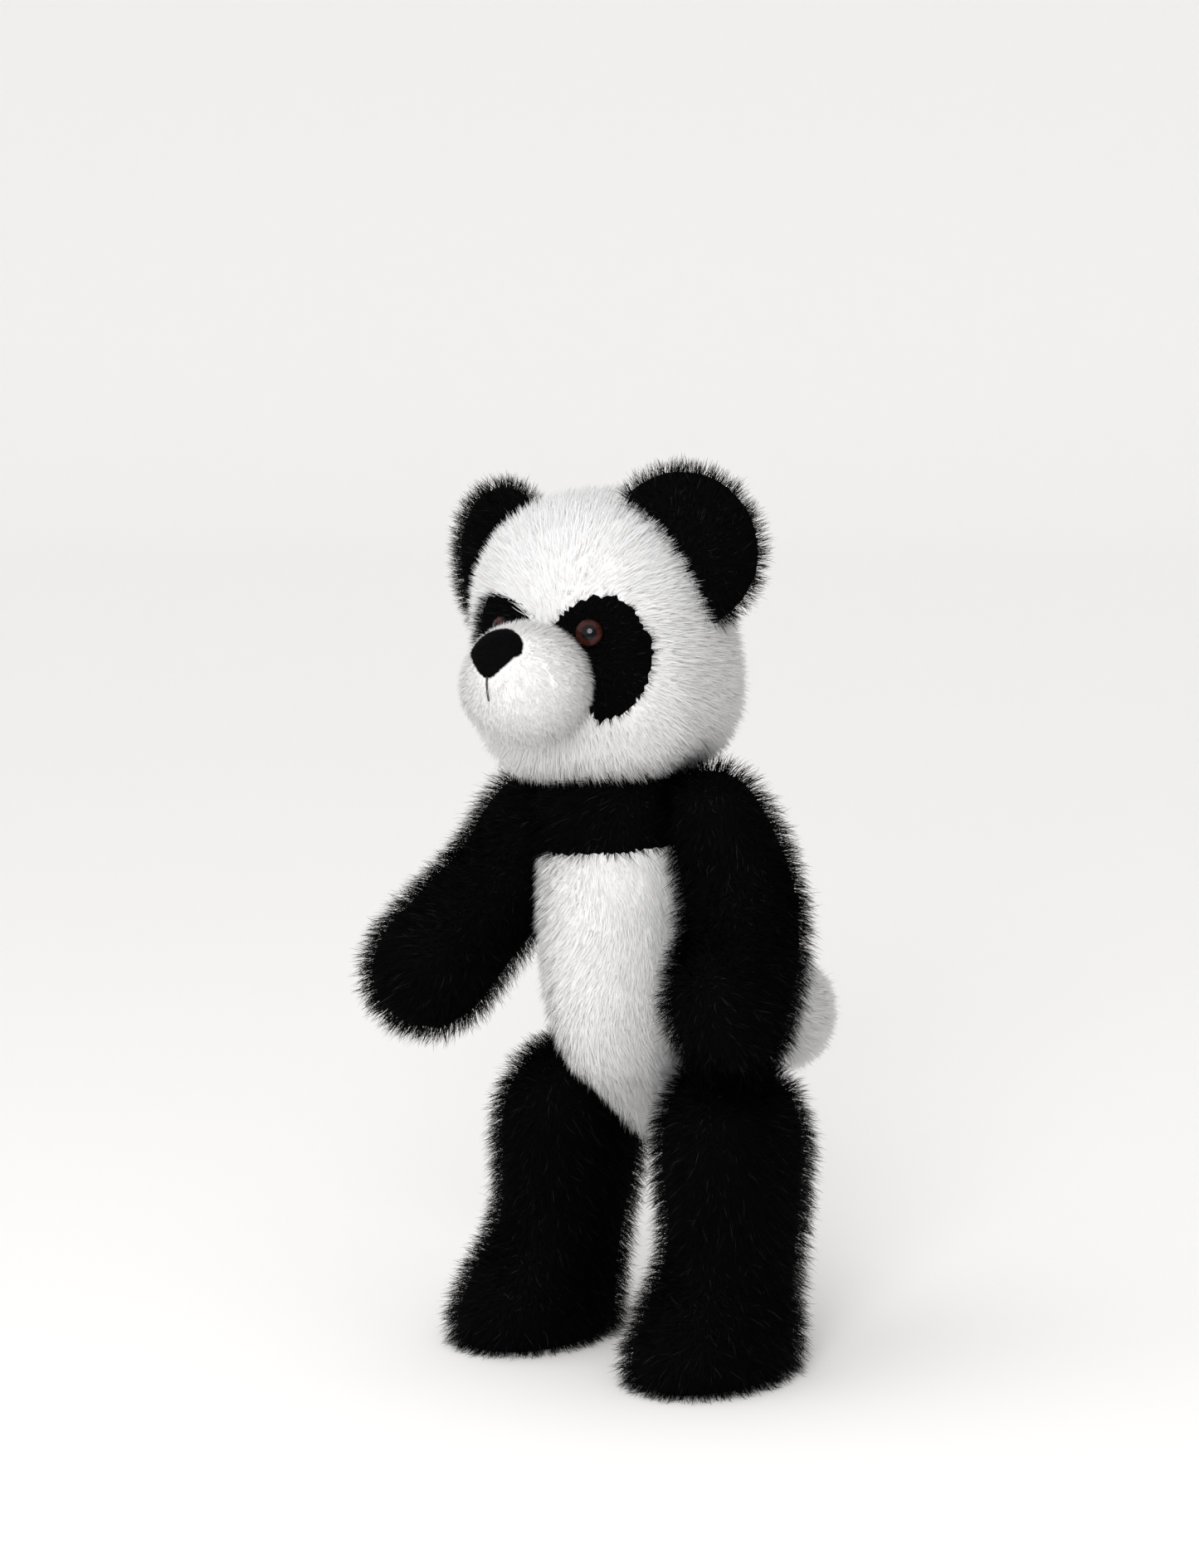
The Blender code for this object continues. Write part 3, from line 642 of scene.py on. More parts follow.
def outermost(skin: Skin) -> Skin:
    """The connected part of a surface that spans the largest box.

    Args:
        skin: The surface.

    Returns:
        That part by itself.
    """
    label = np.arange(len(skin.points))
    edges = np.concatenate([skin.tris[:, [0, 1]], skin.tris[:, [1, 2]]])
    while True:
        low = np.minimum(label[edges[:, 0]], label[edges[:, 1]])
        new = label.copy()
        np.minimum.at(new, edges[:, 0], low)
        np.minimum.at(new, edges[:, 1], low)
        new = new[new]
        if (new == label).all():
            break
        label = new
    best, size = 0, -1.0
    for island in np.unique(label[skin.tris[:, 0]]):
        spots = skin.points[label == island]
        span = float(np.linalg.norm(spots.max(axis=0) - spots.min(axis=0)))
        if span > size:
            best, size = island, span
    return skin.part(label[skin.tris[:, 0]] == best)


def nearest_of(spots: Array, names: Sequence[str]) -> Array:
    """For each spot, the number of the frame node that lies nearest.

    Args:
        spots: The places.
        names: The frame nodes' names.

    Returns:
        For each place, the index of its nearest node.
    """
    distances = np.zeros((len(names), len(spots)))
    for k, name in enumerate(names):
        tree = tree_of([name])
        distances[k] = [tree.find_nearest(spot)[3] for spot in spots]
    return distances.argmin(axis=0)


# ---------------------------------------------------------------- hair

@dataclass(frozen=True)
class Pile:
    """How a coat of hair grows.

    Attributes:
        length: Mean length of a hair, in metres.
        density: Hairs for each square millimetre.
        width: Width at the root, in metres.
        lean: How far the hair lies over along the comb, where 1 is as far as it rises.
        jitter: How far single hairs stray.
        clump: How strongly the tips gather, from 0 to 1.
        clumps: Tufts for each square millimetre.
        spread: How much single lengths vary.
        rough: How unevenly the hairs catch the light.
    """

    length: float
    density: float
    width: float
    lean: float = 0.5
    jitter: float = 0.22
    clump: float = 0.5
    clumps: float = 0.12
    spread: float = 0.22
    rough: float = 0.16


SNOWY = Pile(length=0.0082, density=1.45, width=0.00026, lean=0.85, jitter=0.16, clump=0.2,
             clumps=0.3, spread=0.2, rough=0.07)
BELLY_PILE = Pile(length=0.0082, density=1.15, width=0.0003, lean=0.9, jitter=0.16, clump=0.2,
                  clumps=0.3, spread=0.2, rough=0.07)
LONG = Pile(length=0.0105, density=0.88, width=0.00026, lean=0.55, jitter=0.26, clump=0.68,
            clumps=0.28, spread=0.25)
EAR_PILE = Pile(length=0.0085, density=1.2, width=0.00022, lean=0.35, jitter=0.26, clump=0.6,
                clumps=0.35)
PATCH_PILE = Pile(length=0.0062, density=1.8, width=0.0002, lean=0.45, clump=0.4, clumps=0.4)
VELVET = Pile(length=0.0042, density=2.3, width=0.00024, lean=0.85, jitter=0.18, clump=0.2,
              clumps=0.4, rough=0.05)
NOSE_PILE = Pile(length=0.0012, density=6.0, width=0.00015, lean=0.5, jitter=0.35, clump=0.1,
                 clumps=1.0)

STEPS = np.array([0.0, 0.38, 0.74, 1.0])
WIDTHS = np.array([1.0, 0.92, 0.62])
VERTS_PER_HAIR = 7
FLOOR_CLEAR = 0.0003
CRUSHED = 0.0025


class Coat:
    """Grows hair on a surface and makes it one object."""

    def __init__(self, name: str, skin: Skin, pile: Pile, comb: Callable[[Array, Array], Array],
                 obstacles: Optional[BVHTree] = None,
                 buried: Optional[Callable[[Array], Array]] = None) -> None:
        """Plans the hairs.

        Args:
            name: The piece's name, which also seeds it.
            skin: The surface that the hairs stand on.
            pile: How they grow.
            comb: Gives the direction that the hair lies in from places and normals.
            obstacles: Neighbours that shorten the hairs which would meet them.
            buried: Tells which roots lie inside another piece.
        """
        self.name = name
        self.pile = pile
        self.random = np.random.default_rng(zlib.crc32(name.encode()))
        areas = skin.areas()
        count = int(areas.sum() * 1e6 * pile.density)
        self.roots, self.normals = self._scatter(skin, areas, count)
        if buried is not None:
            keep = ~buried(self.roots)
            self.roots, self.normals = self.roots[keep], self.normals[keep]
        self.combs = self._tangent(comb(self.roots, self.normals), self.normals)
        spread = self.random.normal(1.0, pile.spread, len(self.roots))
        self.lengths = pile.length * np.clip(spread, 0.45, 1.5)
        if obstacles is not None:
            self._shorten(obstacles)

    def _scatter(self, skin: Skin, areas: Array, count: int) -> tuple[Array, Array]:
        """Roots and normals spread evenly over a surface.

        Args:
            skin: The surface.
            areas: Its triangles' areas.
            count: How many roots.

        Returns:
            The roots, and the normals there.
        """
        chosen = self.random.choice(len(areas), count, p=areas / areas.sum())
        u, v = self.random.random(count), self.random.random(count)
        flip = u + v > 1
        u[flip], v[flip] = 1 - u[flip], 1 - v[flip]
        weights = np.stack([1 - u - v, u, v], axis=1)[:, :, None]
        tris = skin.tris[chosen]
        roots = (skin.points[tris] * weights).sum(axis=1)
        normals = unit((skin.normals[tris] * weights).sum(axis=1))
        return roots, normals

    @staticmethod
    def _tangent(vectors: Array, normals: Array) -> Array:
        """The part of each vector that lies along the surface."""
        return vectors - normals * (vectors * normals).sum(axis=1, keepdims=True)

    def _shorten(self, obstacles: BVHTree) -> None:
        """Cuts back the hairs that would reach into a neighbour, and drops the crushed ones.

        Args:
            obstacles: The neighbours' surfaces.
        """
        reach = self.pile.length * 1.6
        keep = np.ones(len(self.roots), bool)
        for i, (root, normal) in enumerate(zip(self.roots, self.normals)):
            hit = obstacles.ray_cast(Vector(root), Vector(normal), reach)
            if hit[0] is not None:
                self.lengths[i] = min(self.lengths[i], hit[3] * 0.62)
                keep[i] = hit[3] > CRUSHED
        self.roots, self.normals = self.roots[keep], self.normals[keep]
        self.combs, self.lengths = self.combs[keep], self.lengths[keep]

    def _lines(self) -> Array:
        """The points of each hair from root to tip, as (hair, step, xyz)."""
        count = len(self.roots)
        stray = self._tangent(self.random.normal(0, self.pile.jitter, (count, 3)), self.normals)
        lean = self.combs * self.pile.lean + stray
        t = STEPS[None, :, None]
        scale = self.lengths[:, None, None] / np.sqrt(1 + (lean ** 2).sum(axis=1))[:, None, None]
        rise = self.normals[:, None, :] * (t - 0.12 * t * t)
        lines = self.roots[:, None, :] - self.normals[:, None, :] * 0.0004
        lines = lines + scale * (rise + lean[:, None, :] * t ** 1.5)
        return self._clumped(lines)

    def _clumped(self, lines: Array) -> Array:
        """Draws the tips together in tufts.

        Args:
            lines: The hairs' points.

        Returns:
            The points drawn together.
        """
        count = len(lines)
        tufts = max(1, int(count * self.pile.clumps / self.pile.density))
        leaders = self.random.choice(count, tufts, replace=False)
        tree = KDTree(tufts)
        for k, leader in enumerate(leaders):
            tree.insert(self.roots[leader], k)
        tree.balance()
        follow = np.array([leaders[tree.find(root)[1]] for root in self.roots])
        pull = self.pile.clump * self.random.uniform(0.4, 1.0, count)[:, None, None]
        pull = pull * STEPS[None, :, None] ** 1.4
        share = (self.lengths / self.lengths[follow])[:, None, None]
        leader = self.roots[follow][:, None, :]
        goal = leader + (lines[follow] - leader) * share
        return lines * (1 - pull) + goal * pull

    def object(self, material: bpy.types.Material) -> bpy.types.Object:
        """Makes the hairs one mesh of narrow tapered blades.

        Args:
            material: The fur's material.

        Returns:
            The object, with its strand map.
        """
        lines = self._lines()
        lines[:, :, 2] = np.maximum(lines[:, :, 2], FLOOR_CLEAR)
        count = len(lines)
        along = unit(lines[:, -1] - lines[:, 0])
        flat = unit(np.cross(along, self.normals + self.random.normal(0, 0.02, (count, 3))))
        turn = self.random.uniform(-0.9, 0.9, count)[:, None]
        side = flat * np.cos(turn) + np.cross(along, flat) * np.sin(turn)
        half = side[:, None, :] * (WIDTHS[None, :, None] * self.pile.width / 2)
        verts = np.empty((count, VERTS_PER_HAIR, 3))
        verts[:, 0:6:2] = lines[:, :3] - half
        verts[:, 1:6:2] = lines[:, :3] + half
        verts[:, 6] = lines[:, 3]
        first = (np.arange(count) * VERTS_PER_HAIR)[:, None]
        corners = first + np.array([0, 1, 3, 2, 2, 3, 5, 4, 4, 5, 6])[None, :]
        tone = self.random.random(count)[:, None] * 0.94 + 0.03
        u = tone + np.array([-1, 1, 1, -1, -1, 1, 1, -1, -1, 1, 0])[None, :] * 0.02
        v = STEPS[[0, 0, 1, 1, 1, 1, 2, 2, 2, 2, 3]][None, :] * 0.98 + 0.01
        strand = np.stack([u, np.broadcast_to(v, u.shape)], axis=2).astype(np.float32)
        mesh = bpy.data.meshes.new(self.name)
        mesh.vertices.add(count * VERTS_PER_HAIR)
        mesh.vertices.foreach_set("co", verts.astype(np.float32).ravel())
        mesh.loops.add(count * 11)
        mesh.loops.foreach_set("vertex_index", corners.astype(np.int32).ravel())
        mesh.polygons.add(count * 3)
        starts = (np.arange(count) * 11)[:, None] + np.array([0, 4, 8])[None, :]
        mesh.polygons.foreach_set("loop_start", starts.astype(np.int32).ravel())
        mesh.update(calc_edges=True)
        for name in (STRAND_MAP, BAKE_MAP):
            mesh.uv_layers.new(name=name).data.foreach_set("uv", strand.ravel())
        mesh.shade_smooth()
        soft = unit(self.normals + self.combs * 0.25
                    + self.random.normal(0, self.pile.rough, (count, 3)))
        mesh.normals_split_custom_set_from_vertices(np.repeat(soft, VERTS_PER_HAIR, axis=0))
        mesh.materials.append(material)
        piece = bpy.data.objects.new(self.name, mesh)
        bpy.context.scene.collection.objects.link(piece)
        return piece


# ---------------------------------------------------------------- stance of the panda

STUFFING_DEPTH = 0.0048     # from a skin's surface in to its stuffing
STUFFING_LUMP = 0.0008      # how far the stuffing swells and sinks
MOUTH_OVERRUN = 0.0028      # how far the stitch runs past the frame's thread
PILE_FOOT = 0.0012          # how deep the muzzle's backing lies under its surface
PRESSED_PILE = 0.0008       # how far the stitch stands off the muzzle
FINE = 0.0026               # longest side of a rounded cloth's faces
ROUNDS = 14                 # passes that round a cloth


class Stance:
    """Directions and places that the frame's joints give."""

    def __init__(self) -> None:
        """Reads the joints."""
        joints = {joint["name"]: joint for joint in FRAME["joints"]}
        neck = joints["neck_turn"]
        self.neck = np.array(neck["pos_m"])
        self.up = unit(np.array(neck["axis"]))
        self.ahead = np.array((0.0, -1.0, 0.0))
        self.left = np.cross(self.up, self.ahead)
        hips = [np.array(joints[f"hip_{side}_swing"]["pos_m"]) for side in ("left", "right")]
        self.hips = (hips[0] + hips[1]) / 2
        self.shoulders = {side: np.array(joints[f"shoulder_{side}_swing"]["pos_m"])
                          for side in ("left", "right")}


class Side(Enum):
    """The panda's own left and right."""

    LEFT = "left"
    RIGHT = "right"

    @property
    def sign(self) -> int:
        """1 on the +X side and -1 on the other."""
        return 1 if self is Side.LEFT else -1


def falling(spots: Array, normals: Array) -> Array:
    """A comb that runs straight down with a slow drift.

    Args:
        spots: The places.
        normals: The surface's normals there.

    Returns:
        The direction at each place.
    """
    comb = np.zeros_like(spots)
    comb[:, 2] = -1.0
    comb[:, 0] = 0.35 * np.sin(spots[:, 2] * 70 + spots[:, 1] * 40)
    comb[:, 1] = 0.35 * np.sin(spots[:, 2] * 55 - spots[:, 0] * 60 + 1.0)
    return unit(comb)


def away_from(centre: Array, fall: float) -> Callable[[Array, Array], Array]:
    """A comb that runs away from a point and falls a little.

    Args:
        centre: The point.
        fall: How much it falls, where 1 is as much as it runs away.

    Returns:
        The comb.
    """
    def comb(spots: Array, normals: Array) -> Array:
        """Gives the direction at each place.

        Args:
            spots: The places.
            normals: The surface's normals there.

        Returns:
            The directions.
        """
        out = unit(spots - centre)
        out[:, 2] -= fall
        swirl = np.sin(spots[:, 0] * 65 + spots[:, 2] * 50)
        out[:, 1] += 0.2 * swirl
        return unit(out)
    return comb


@dataclass
class SoftPart:
    """What the sewn parts share: dressing them and telling the frame about it.

    Attributes:
        finishes: The materials.
        stance: The frame's directions.
    """

    finishes: Finishes
    stance: Stance

    def cloth(self, name: str, skin: Skin, finish: ClothFinish, body: str,
              *nodes: str) -> bpy.types.Object:
        """Makes a backing cloth that stands for sewn frame nodes.

        Args:
            name: The piece's name.
            skin: Its surface.
            finish: Its cloth.
            body: The moving body that it rides on.
            *nodes: The frame nodes that it stands for.

        Returns:
            The piece.
        """
        piece = skin.object(name, self.finishes.of(finish))
        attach(piece, body)
        if nodes:
            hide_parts(*nodes)
        LOG.info("cloth %s", name)
        return piece

    def coat(self, name: str, skin: Skin, pile: Pile, finish: FurFinish, body: str,
             comb: Callable[[Array, Array], Array], obstacles: Optional[BVHTree] = None,
             buried: Optional[Callable[[Array], Array]] = None, parts: int = 1) -> None:
        """Grows a coat, in several pieces where it is large.

        Args:
            name: The coat's name, which each piece numbers.
            skin: The surface that it grows on.
            pile: Its hairs.
            finish: Their material.
            body: The moving body that it rides on.
            comb: Gives the hairs' direction at each place.
            obstacles: Neighbours that the hairs keep out of.
            buried: Marks the places that grow none.
            parts: How many pieces it is split into.
        """
        order = np.argsort(skin.centres()[:, 2], kind="stable")
        for k, share in enumerate(np.array_split(order, parts)):
            keep = np.zeros(len(skin.tris), bool)
            keep[share] = True
            label = name if parts == 1 else f"{name}_{k + 1}"
            grown = Coat(label, skin.part(keep), pile, comb, obstacles, buried)
            piece = grown.object(self.finishes.of(finish))
            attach(piece, body)
            LOG.info("coat %s of %d hairs", label, len(grown.roots))

    def wadding(self, name: str, skin: Skin, body: str, *nodes: str) -> None:
        """Makes the lumpy stuffing inside a skin.

        Args:
            name: The piece's name.
            skin: The skin round it.
            body: The moving body that it rides on.
            *nodes: The frame nodes that it stands for.
        """
        inner = skin.moved(-STUFFING_DEPTH)
        swell = np.sin(inner.points * 260.0).prod(axis=1)
        inner.points = inner.points + inner.normals * (swell[:, None] * STUFFING_LUMP)
        piece = inner.object(name, self.finishes.of(WADDING))
        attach(piece, body)
        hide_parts(*nodes)


def outer_nodes(*skip: str) -> list[str]:
    """Every outer frame node apart from those named."""
    outer = ["head_skin", "muzzle_skin", "ear_left", "ear_right", "yoke_skin", "belly_skin",
             "tail", "arm_skin_left", "arm_skin_right", "leg_skin_left", "leg_skin_right"]
    return [name for name in outer if name not in skip]


# ---------------------------------------------------------------- head

@dataclass
class Head(SoftPart):
    """The head with its patches, muzzle, nose, mouth, eyes and ears.

    Attributes:
        skull: The rounded form of the whole head.
        muzzle_centre: Middle of the muzzle's ball.
        muzzle_radius: Its radius.
        muzzle_squash: Its height over its width.
        mouth: Places along the mouth's stitch, from its lower end up to the nose.
    """

    skull: Skin = None
    muzzle_centre: Array = None
    muzzle_radius: float = 0.0
    muzzle_squash: float = 1.0
    mouth: Array = None

    def build(self) -> None:
        """Builds every piece of the head."""
        self._fit_muzzle()
        self._skull()
        self._mouth()
        self._muzzle()
        self._nose()
        for side in Side:
            self._ear(side)
            self._eye(side)

    def _fit_muzzle(self) -> None:
        """Finds the flattened ball that the muzzle's outer skin lies on."""
        points, _ = node_tris("muzzle_skin")
        up = self.stance.up
        keep = np.ones(len(points), bool)
        for _ in range(8):
            height = points @ up
            level = points - np.outer(height, up)
            rows = np.hstack([2 * points, -(height ** 2)[:, None], np.ones((len(points), 1))])
            answer = np.linalg.lstsq(rows[keep], (level ** 2).sum(axis=1)[keep], rcond=None)[0]
            stretch = answer[3]
            rise = (answer[:3] @ up) / stretch
            flat = answer[:3] - (answer[:3] @ up) * up
            centre = flat + rise * up
            radius = math.sqrt(answer[4] + flat @ flat + stretch * rise ** 2)
            distance = self._swollen(points, centre, math.sqrt(1 / stretch))
            keep = distance > radius - 0.001
        self.muzzle_centre, self.muzzle_radius = centre, radius
        self.muzzle_squash = math.sqrt(1 / stretch)

    def _swollen(self, spots: Array, centre: Array, squash: float) -> Array:
        """The distance from a centre, measured as if a flattened ball were round.

        Args:
            spots: The places.
            centre: The muzzle's middle.
            squash: Its height over its width.

        Returns:
            A distance for each place.
        """
        offset = spots - centre
        height = offset @ self.stance.up
        level = (offset ** 2).sum(axis=1) - height ** 2
        return np.sqrt(level + (height / squash) ** 2)

    def _in_muzzle(self, spots: Array) -> Array:
        """Marks the places inside the muzzle."""
        distance = self._swollen(spots, self.muzzle_centre, self.muzzle_squash)
        return distance < self.muzzle_radius - 0.001

    def _skull(self) -> None:
        """Head cloth, patch cloths, their coats and the wadding."""
        names = ["head_skin", "eye_patch_left", "eye_patch_right"]
        self.skull = rounded_solid(names + ["head_stuffing"], FINE, ROUNDS)
        owner = nearest_of(self.skull.centres(), names)
        obstacles = tree_of(outer_nodes("head_skin"))
        centre = self.muzzle_centre + self.stance.up * 0.012
        comb = away_from(centre, 0.25)
        white = self.skull.part(owner == 0)
        self.cloth("head_cloth", white, WHITE_CLOTH, "head", "head_skin")
        self.coat("head_fur", white, SNOWY, WHITE_FUR, "head", comb, obstacles, self._in_muzzle, 3)
        for k, side in enumerate(Side):
            patch = self.skull.part(owner == k + 1)
            label = f"eye_patch_{side.value}"
            self.cloth(f"{label}_cloth", patch, BLACK_CLOTH, "head", label)
            self.coat(f"{label}_fur", patch, PATCH_PILE, BLACK_FUR, "head", comb, obstacles,
                      lambda spots, side=side: self._in_muzzle(spots) | self._in_eye(spots, side))
        self.wadding("head_wadding", self.skull, "head", "head_stuffing")

    def _in_eye(self, spots: Array, side: Side) -> Array:
        """Marks the places under an eye's dome.

        Args:
            spots: The places.
            side: Which eye.

        Returns:
            A mark for each place.
        """
        points, _ = node_tris(f"eye_{side.value}")
        rim = points[points[:, 1] < np.quantile(points[:, 1], 0.45)].mean(axis=0)
        return np.linalg.norm(spots - rim, axis=1) < 0.0062

    def _muzzle(self) -> None:
        """The muzzle's velvet-covered ball."""
        ball = sphere(self.muzzle_centre, self.muzzle_radius - PILE_FOOT, 72, 48, self.stance)
        lift = (ball.points - self.muzzle_centre) @ self.stance.up * (self.muzzle_squash - 1)
        ball.points = ball.points + np.outer(lift, self.stance.up)
        ball.update()
        inside = self._behind_head(ball.centres())
        ball = ball.part(~inside)
        self.cloth("muzzle_cloth", ball, WHITE_CLOTH, "head", "muzzle_skin")
        bridge = self.muzzle_centre + (self.stance.ahead + self.stance.up) * 0.02
        comb = away_from(bridge, 0.3)
        self.coat("muzzle_fur", ball, VELVET, MUZZLE_FUR, "head", comb,
                  tree_of(["nose"]), self._at_mouth)

    def _behind_head(self, spots: Array) -> Array:
        """Marks the places inside the skull.

        Args:
            spots: The places.

        Returns:
            A mark for each place.
        """
        tree = BVHTree.FromPolygons(self.skull.points.tolist(), self.skull.tris.tolist())
        marks = np.zeros(len(spots), bool)
        for i, spot in enumerate(spots):
            place, normal, _, _ = tree.find_nearest(Vector(spot))
            marks[i] = (Vector(spot) - place).dot(normal) < -0.0025
        return marks

    def _nose(self) -> None:
        """The nose's rounded three-cornered pad."""
        pad = rounded_solid(["nose"], 0.0009, 6)
        self.cloth("nose_cloth", pad, NOSE_CLOTH, "head", "nose")
        out = unit(pad.points.mean(axis=0) - self.muzzle_centre)
        self.coat("nose_fur", pad, NOSE_PILE, NOSE_FUR, "head",
                  away_from(pad.points.mean(axis=0) - out * 0.004, 0.2))

    def _mouth(self) -> None:
        """A twisted thread along the mouth's single stitch."""
        points, _ = node_tris("mouth_thread")
        height = (points - self.stance.neck) @ self.stance.up
        levels = np.linspace(height.min(), height.max(), 12)
        line = []
        for low, high in zip(levels, levels[1:]):
            near = points[(height >= low - 1e-5) & (height <= high + 1e-5)]
            line.append(near.mean(axis=0))
        line.append(line[-1] + unit(line[-1] - line[-3]) * MOUTH_OVERRUN)
        self.mouth = self._over_muzzle(np.array(line), PRESSED_PILE)
        piece = twisted_thread("mouth_stitch", self.mouth, 0.00045,
                               self.finishes.of(ThreadFinish()))
        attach(piece, "head")
        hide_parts("mouth_thread")

    def _over_muzzle(self, spots: Array, lift: float) -> Array:
        """The nearest places over the muzzle's surface, lifted by a height."""
        distance = self._swollen(spots, self.muzzle_centre, self.muzzle_squash)[:, None]
        return self.muzzle_centre + (spots - self.muzzle_centre) * (
            (self.muzzle_radius + lift) / distance)

    def _at_mouth(self, spots: Array) -> Array:
        """Marks the places beside the stitch, where the pile is pressed flat."""
        gaps = np.linalg.norm(spots[:, None, :] - self.mouth[None, :, :], axis=2)
        return gaps.min(axis=1) < 2 * PRESSED_PILE

    def _ear(self, side: Side) -> None:
        """One ear, with fur all round.

        Args:
            side: Which ear.
        """
        name = f"ear_{side.value}"
        flap = rounded_solid([name], FINE, 8)
        self.cloth(f"{name}_cloth", flap, BLACK_CLOTH, "head", name)
        low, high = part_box(name)
        base = np.array([(low.x + high.x) / 2 - side.sign * 0.03, (low.y + high.y) / 2,
                         low.z + 0.012])
        self.coat(f"{name}_fur", flap, EAR_PILE, BLACK_FUR, "head", away_from(base, 0.0),
                  tree_of(["head_skin"]), self._behind_head)

    def _eye(self, side: Side) -> None:
        """One domed eye on its stem.

        Args:
            side: Which eye.
        """
        name = f"eye_{side.value}"
        points, _ = node_tris(name)
        axis = self._eye_axis(points)
        middle = points.mean(axis=0)
        along = (points - middle) @ axis
        top = along.max()
        centre = middle + axis * top
        across = np.cross(axis, self.stance.up)
        across = across / np.linalg.norm(across)
        over = np.cross(across, axis)
        rim = np.linalg.norm((points - middle) - np.outer(along, axis), axis=1).max()
        piece = dome(f"{name}_dome", centre, across, over, axis, rim, 0.0046, 0.0022,
                     self.finishes.of(EyeFinish()))
        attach(piece, "head")
        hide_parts(name)

    @staticmethod
    def _eye_axis(points: Array) -> Array:
        """The axis of a turned piece, pointing forwards.

        Args:
            points: The piece's vertices.

        Returns:
            A direction of length 1.
        """
        spread = points - points.mean(axis=0)
        values, vectors = np.linalg.eigh(spread.T @ spread)
        best = vectors[:, int(np.argmax(np.abs(vectors[1])))]
        return best if best[1] < 0 else -best


def sphere(centre: Array, radius: float, around: int, rings: int, stance: Stance) -> Skin:
    """A fine ball.

    Args:
        centre: Its middle.
        radius: Its radius.
        around: Faces round it.
        rings: Rings from pole to pole.
        stance: Gives its upright axis.

    Returns:
        The ball's surface.
    """
    turn = np.linspace(0, 2 * math.pi, around, endpoint=False)
    tilt = np.linspace(0, math.pi, rings + 1)[1:-1]
    ring = np.stack([np.cos(turn), np.sin(turn)], axis=1)
    points = [stance.up]
    for angle in tilt:
        points += list(math.sin(angle) * (ring[:, :1] * stance.left + ring[:, 1:] * stance.ahead)
                       + math.cos(angle) * stance.up)
    points.append(-stance.up)
    tris = []
    last = len(points) - 1
    for i in range(around):
        j = (i + 1) % around
        tris.append((0, 1 + j, 1 + i))
        for k in range(len(tilt) - 1):
            a, b = 1 + k * around + i, 1 + k * around + j
            c, d = a + around, b + around
            tris += [(a, b, c), (b, d, c)]
        tris.append((last, last - around + i, last - around + j))
    return Skin(centre + radius * np.array(points), np.array(tris))


def twisted_thread(name: str, line: Array, radius: float,
                   material: bpy.types.Material) -> bpy.types.Object:
    """A tube of two twisted strands along a line.

    Args:
        name: The piece's name.
        line: The points that it runs through.
        radius: Half its width.
        material: Its material.

    Returns:
        The piece.
    """
    sides, steps = 10, 60
    t = np.linspace(0, len(line) - 1, steps)
    spots = np.stack([np.interp(t, range(len(line)), line[:, k]) for k in range(3)], axis=1)
    tangent = unit(np.gradient(spots, axis=0))
    first = unit(np.cross(tangent, (1.0, 0.0, 0.0)))
    second = np.cross(tangent, first)
    points, faces = [], []
    for k in range(steps):
        for i in range(sides):
            angle = 2 * math.pi * i / sides
            wave = 1 + 0.22 * math.cos(2 * (angle - k * 0.55))
            taper = min(1.0, 0.35 + min(k, steps - 1 - k) * 0.3)
            offset = first[k] * math.cos(angle) + second[k] * math.sin(angle)
            points.append(spots[k] + offset * radius * wave * taper)
    for k in range(steps - 1):
        for i in range(sides):
            j = (i + 1) % sides
            faces.append((k * sides + i, k * sides + j, (k + 1) * sides + j, (k + 1) * sides + i))
    faces.append(tuple(range(sides))[::-1])
    faces.append(tuple(range((steps - 1) * sides, steps * sides)))
    mesh = bpy.data.meshes.new(name)
    mesh.from_pydata([tuple(p) for p in points], [], faces)
    mesh.shade_smooth()
    mesh.materials.append(material)
    piece = bpy.data.objects.new(name, mesh)
    bpy.context.scene.collection.objects.link(piece)
    return piece


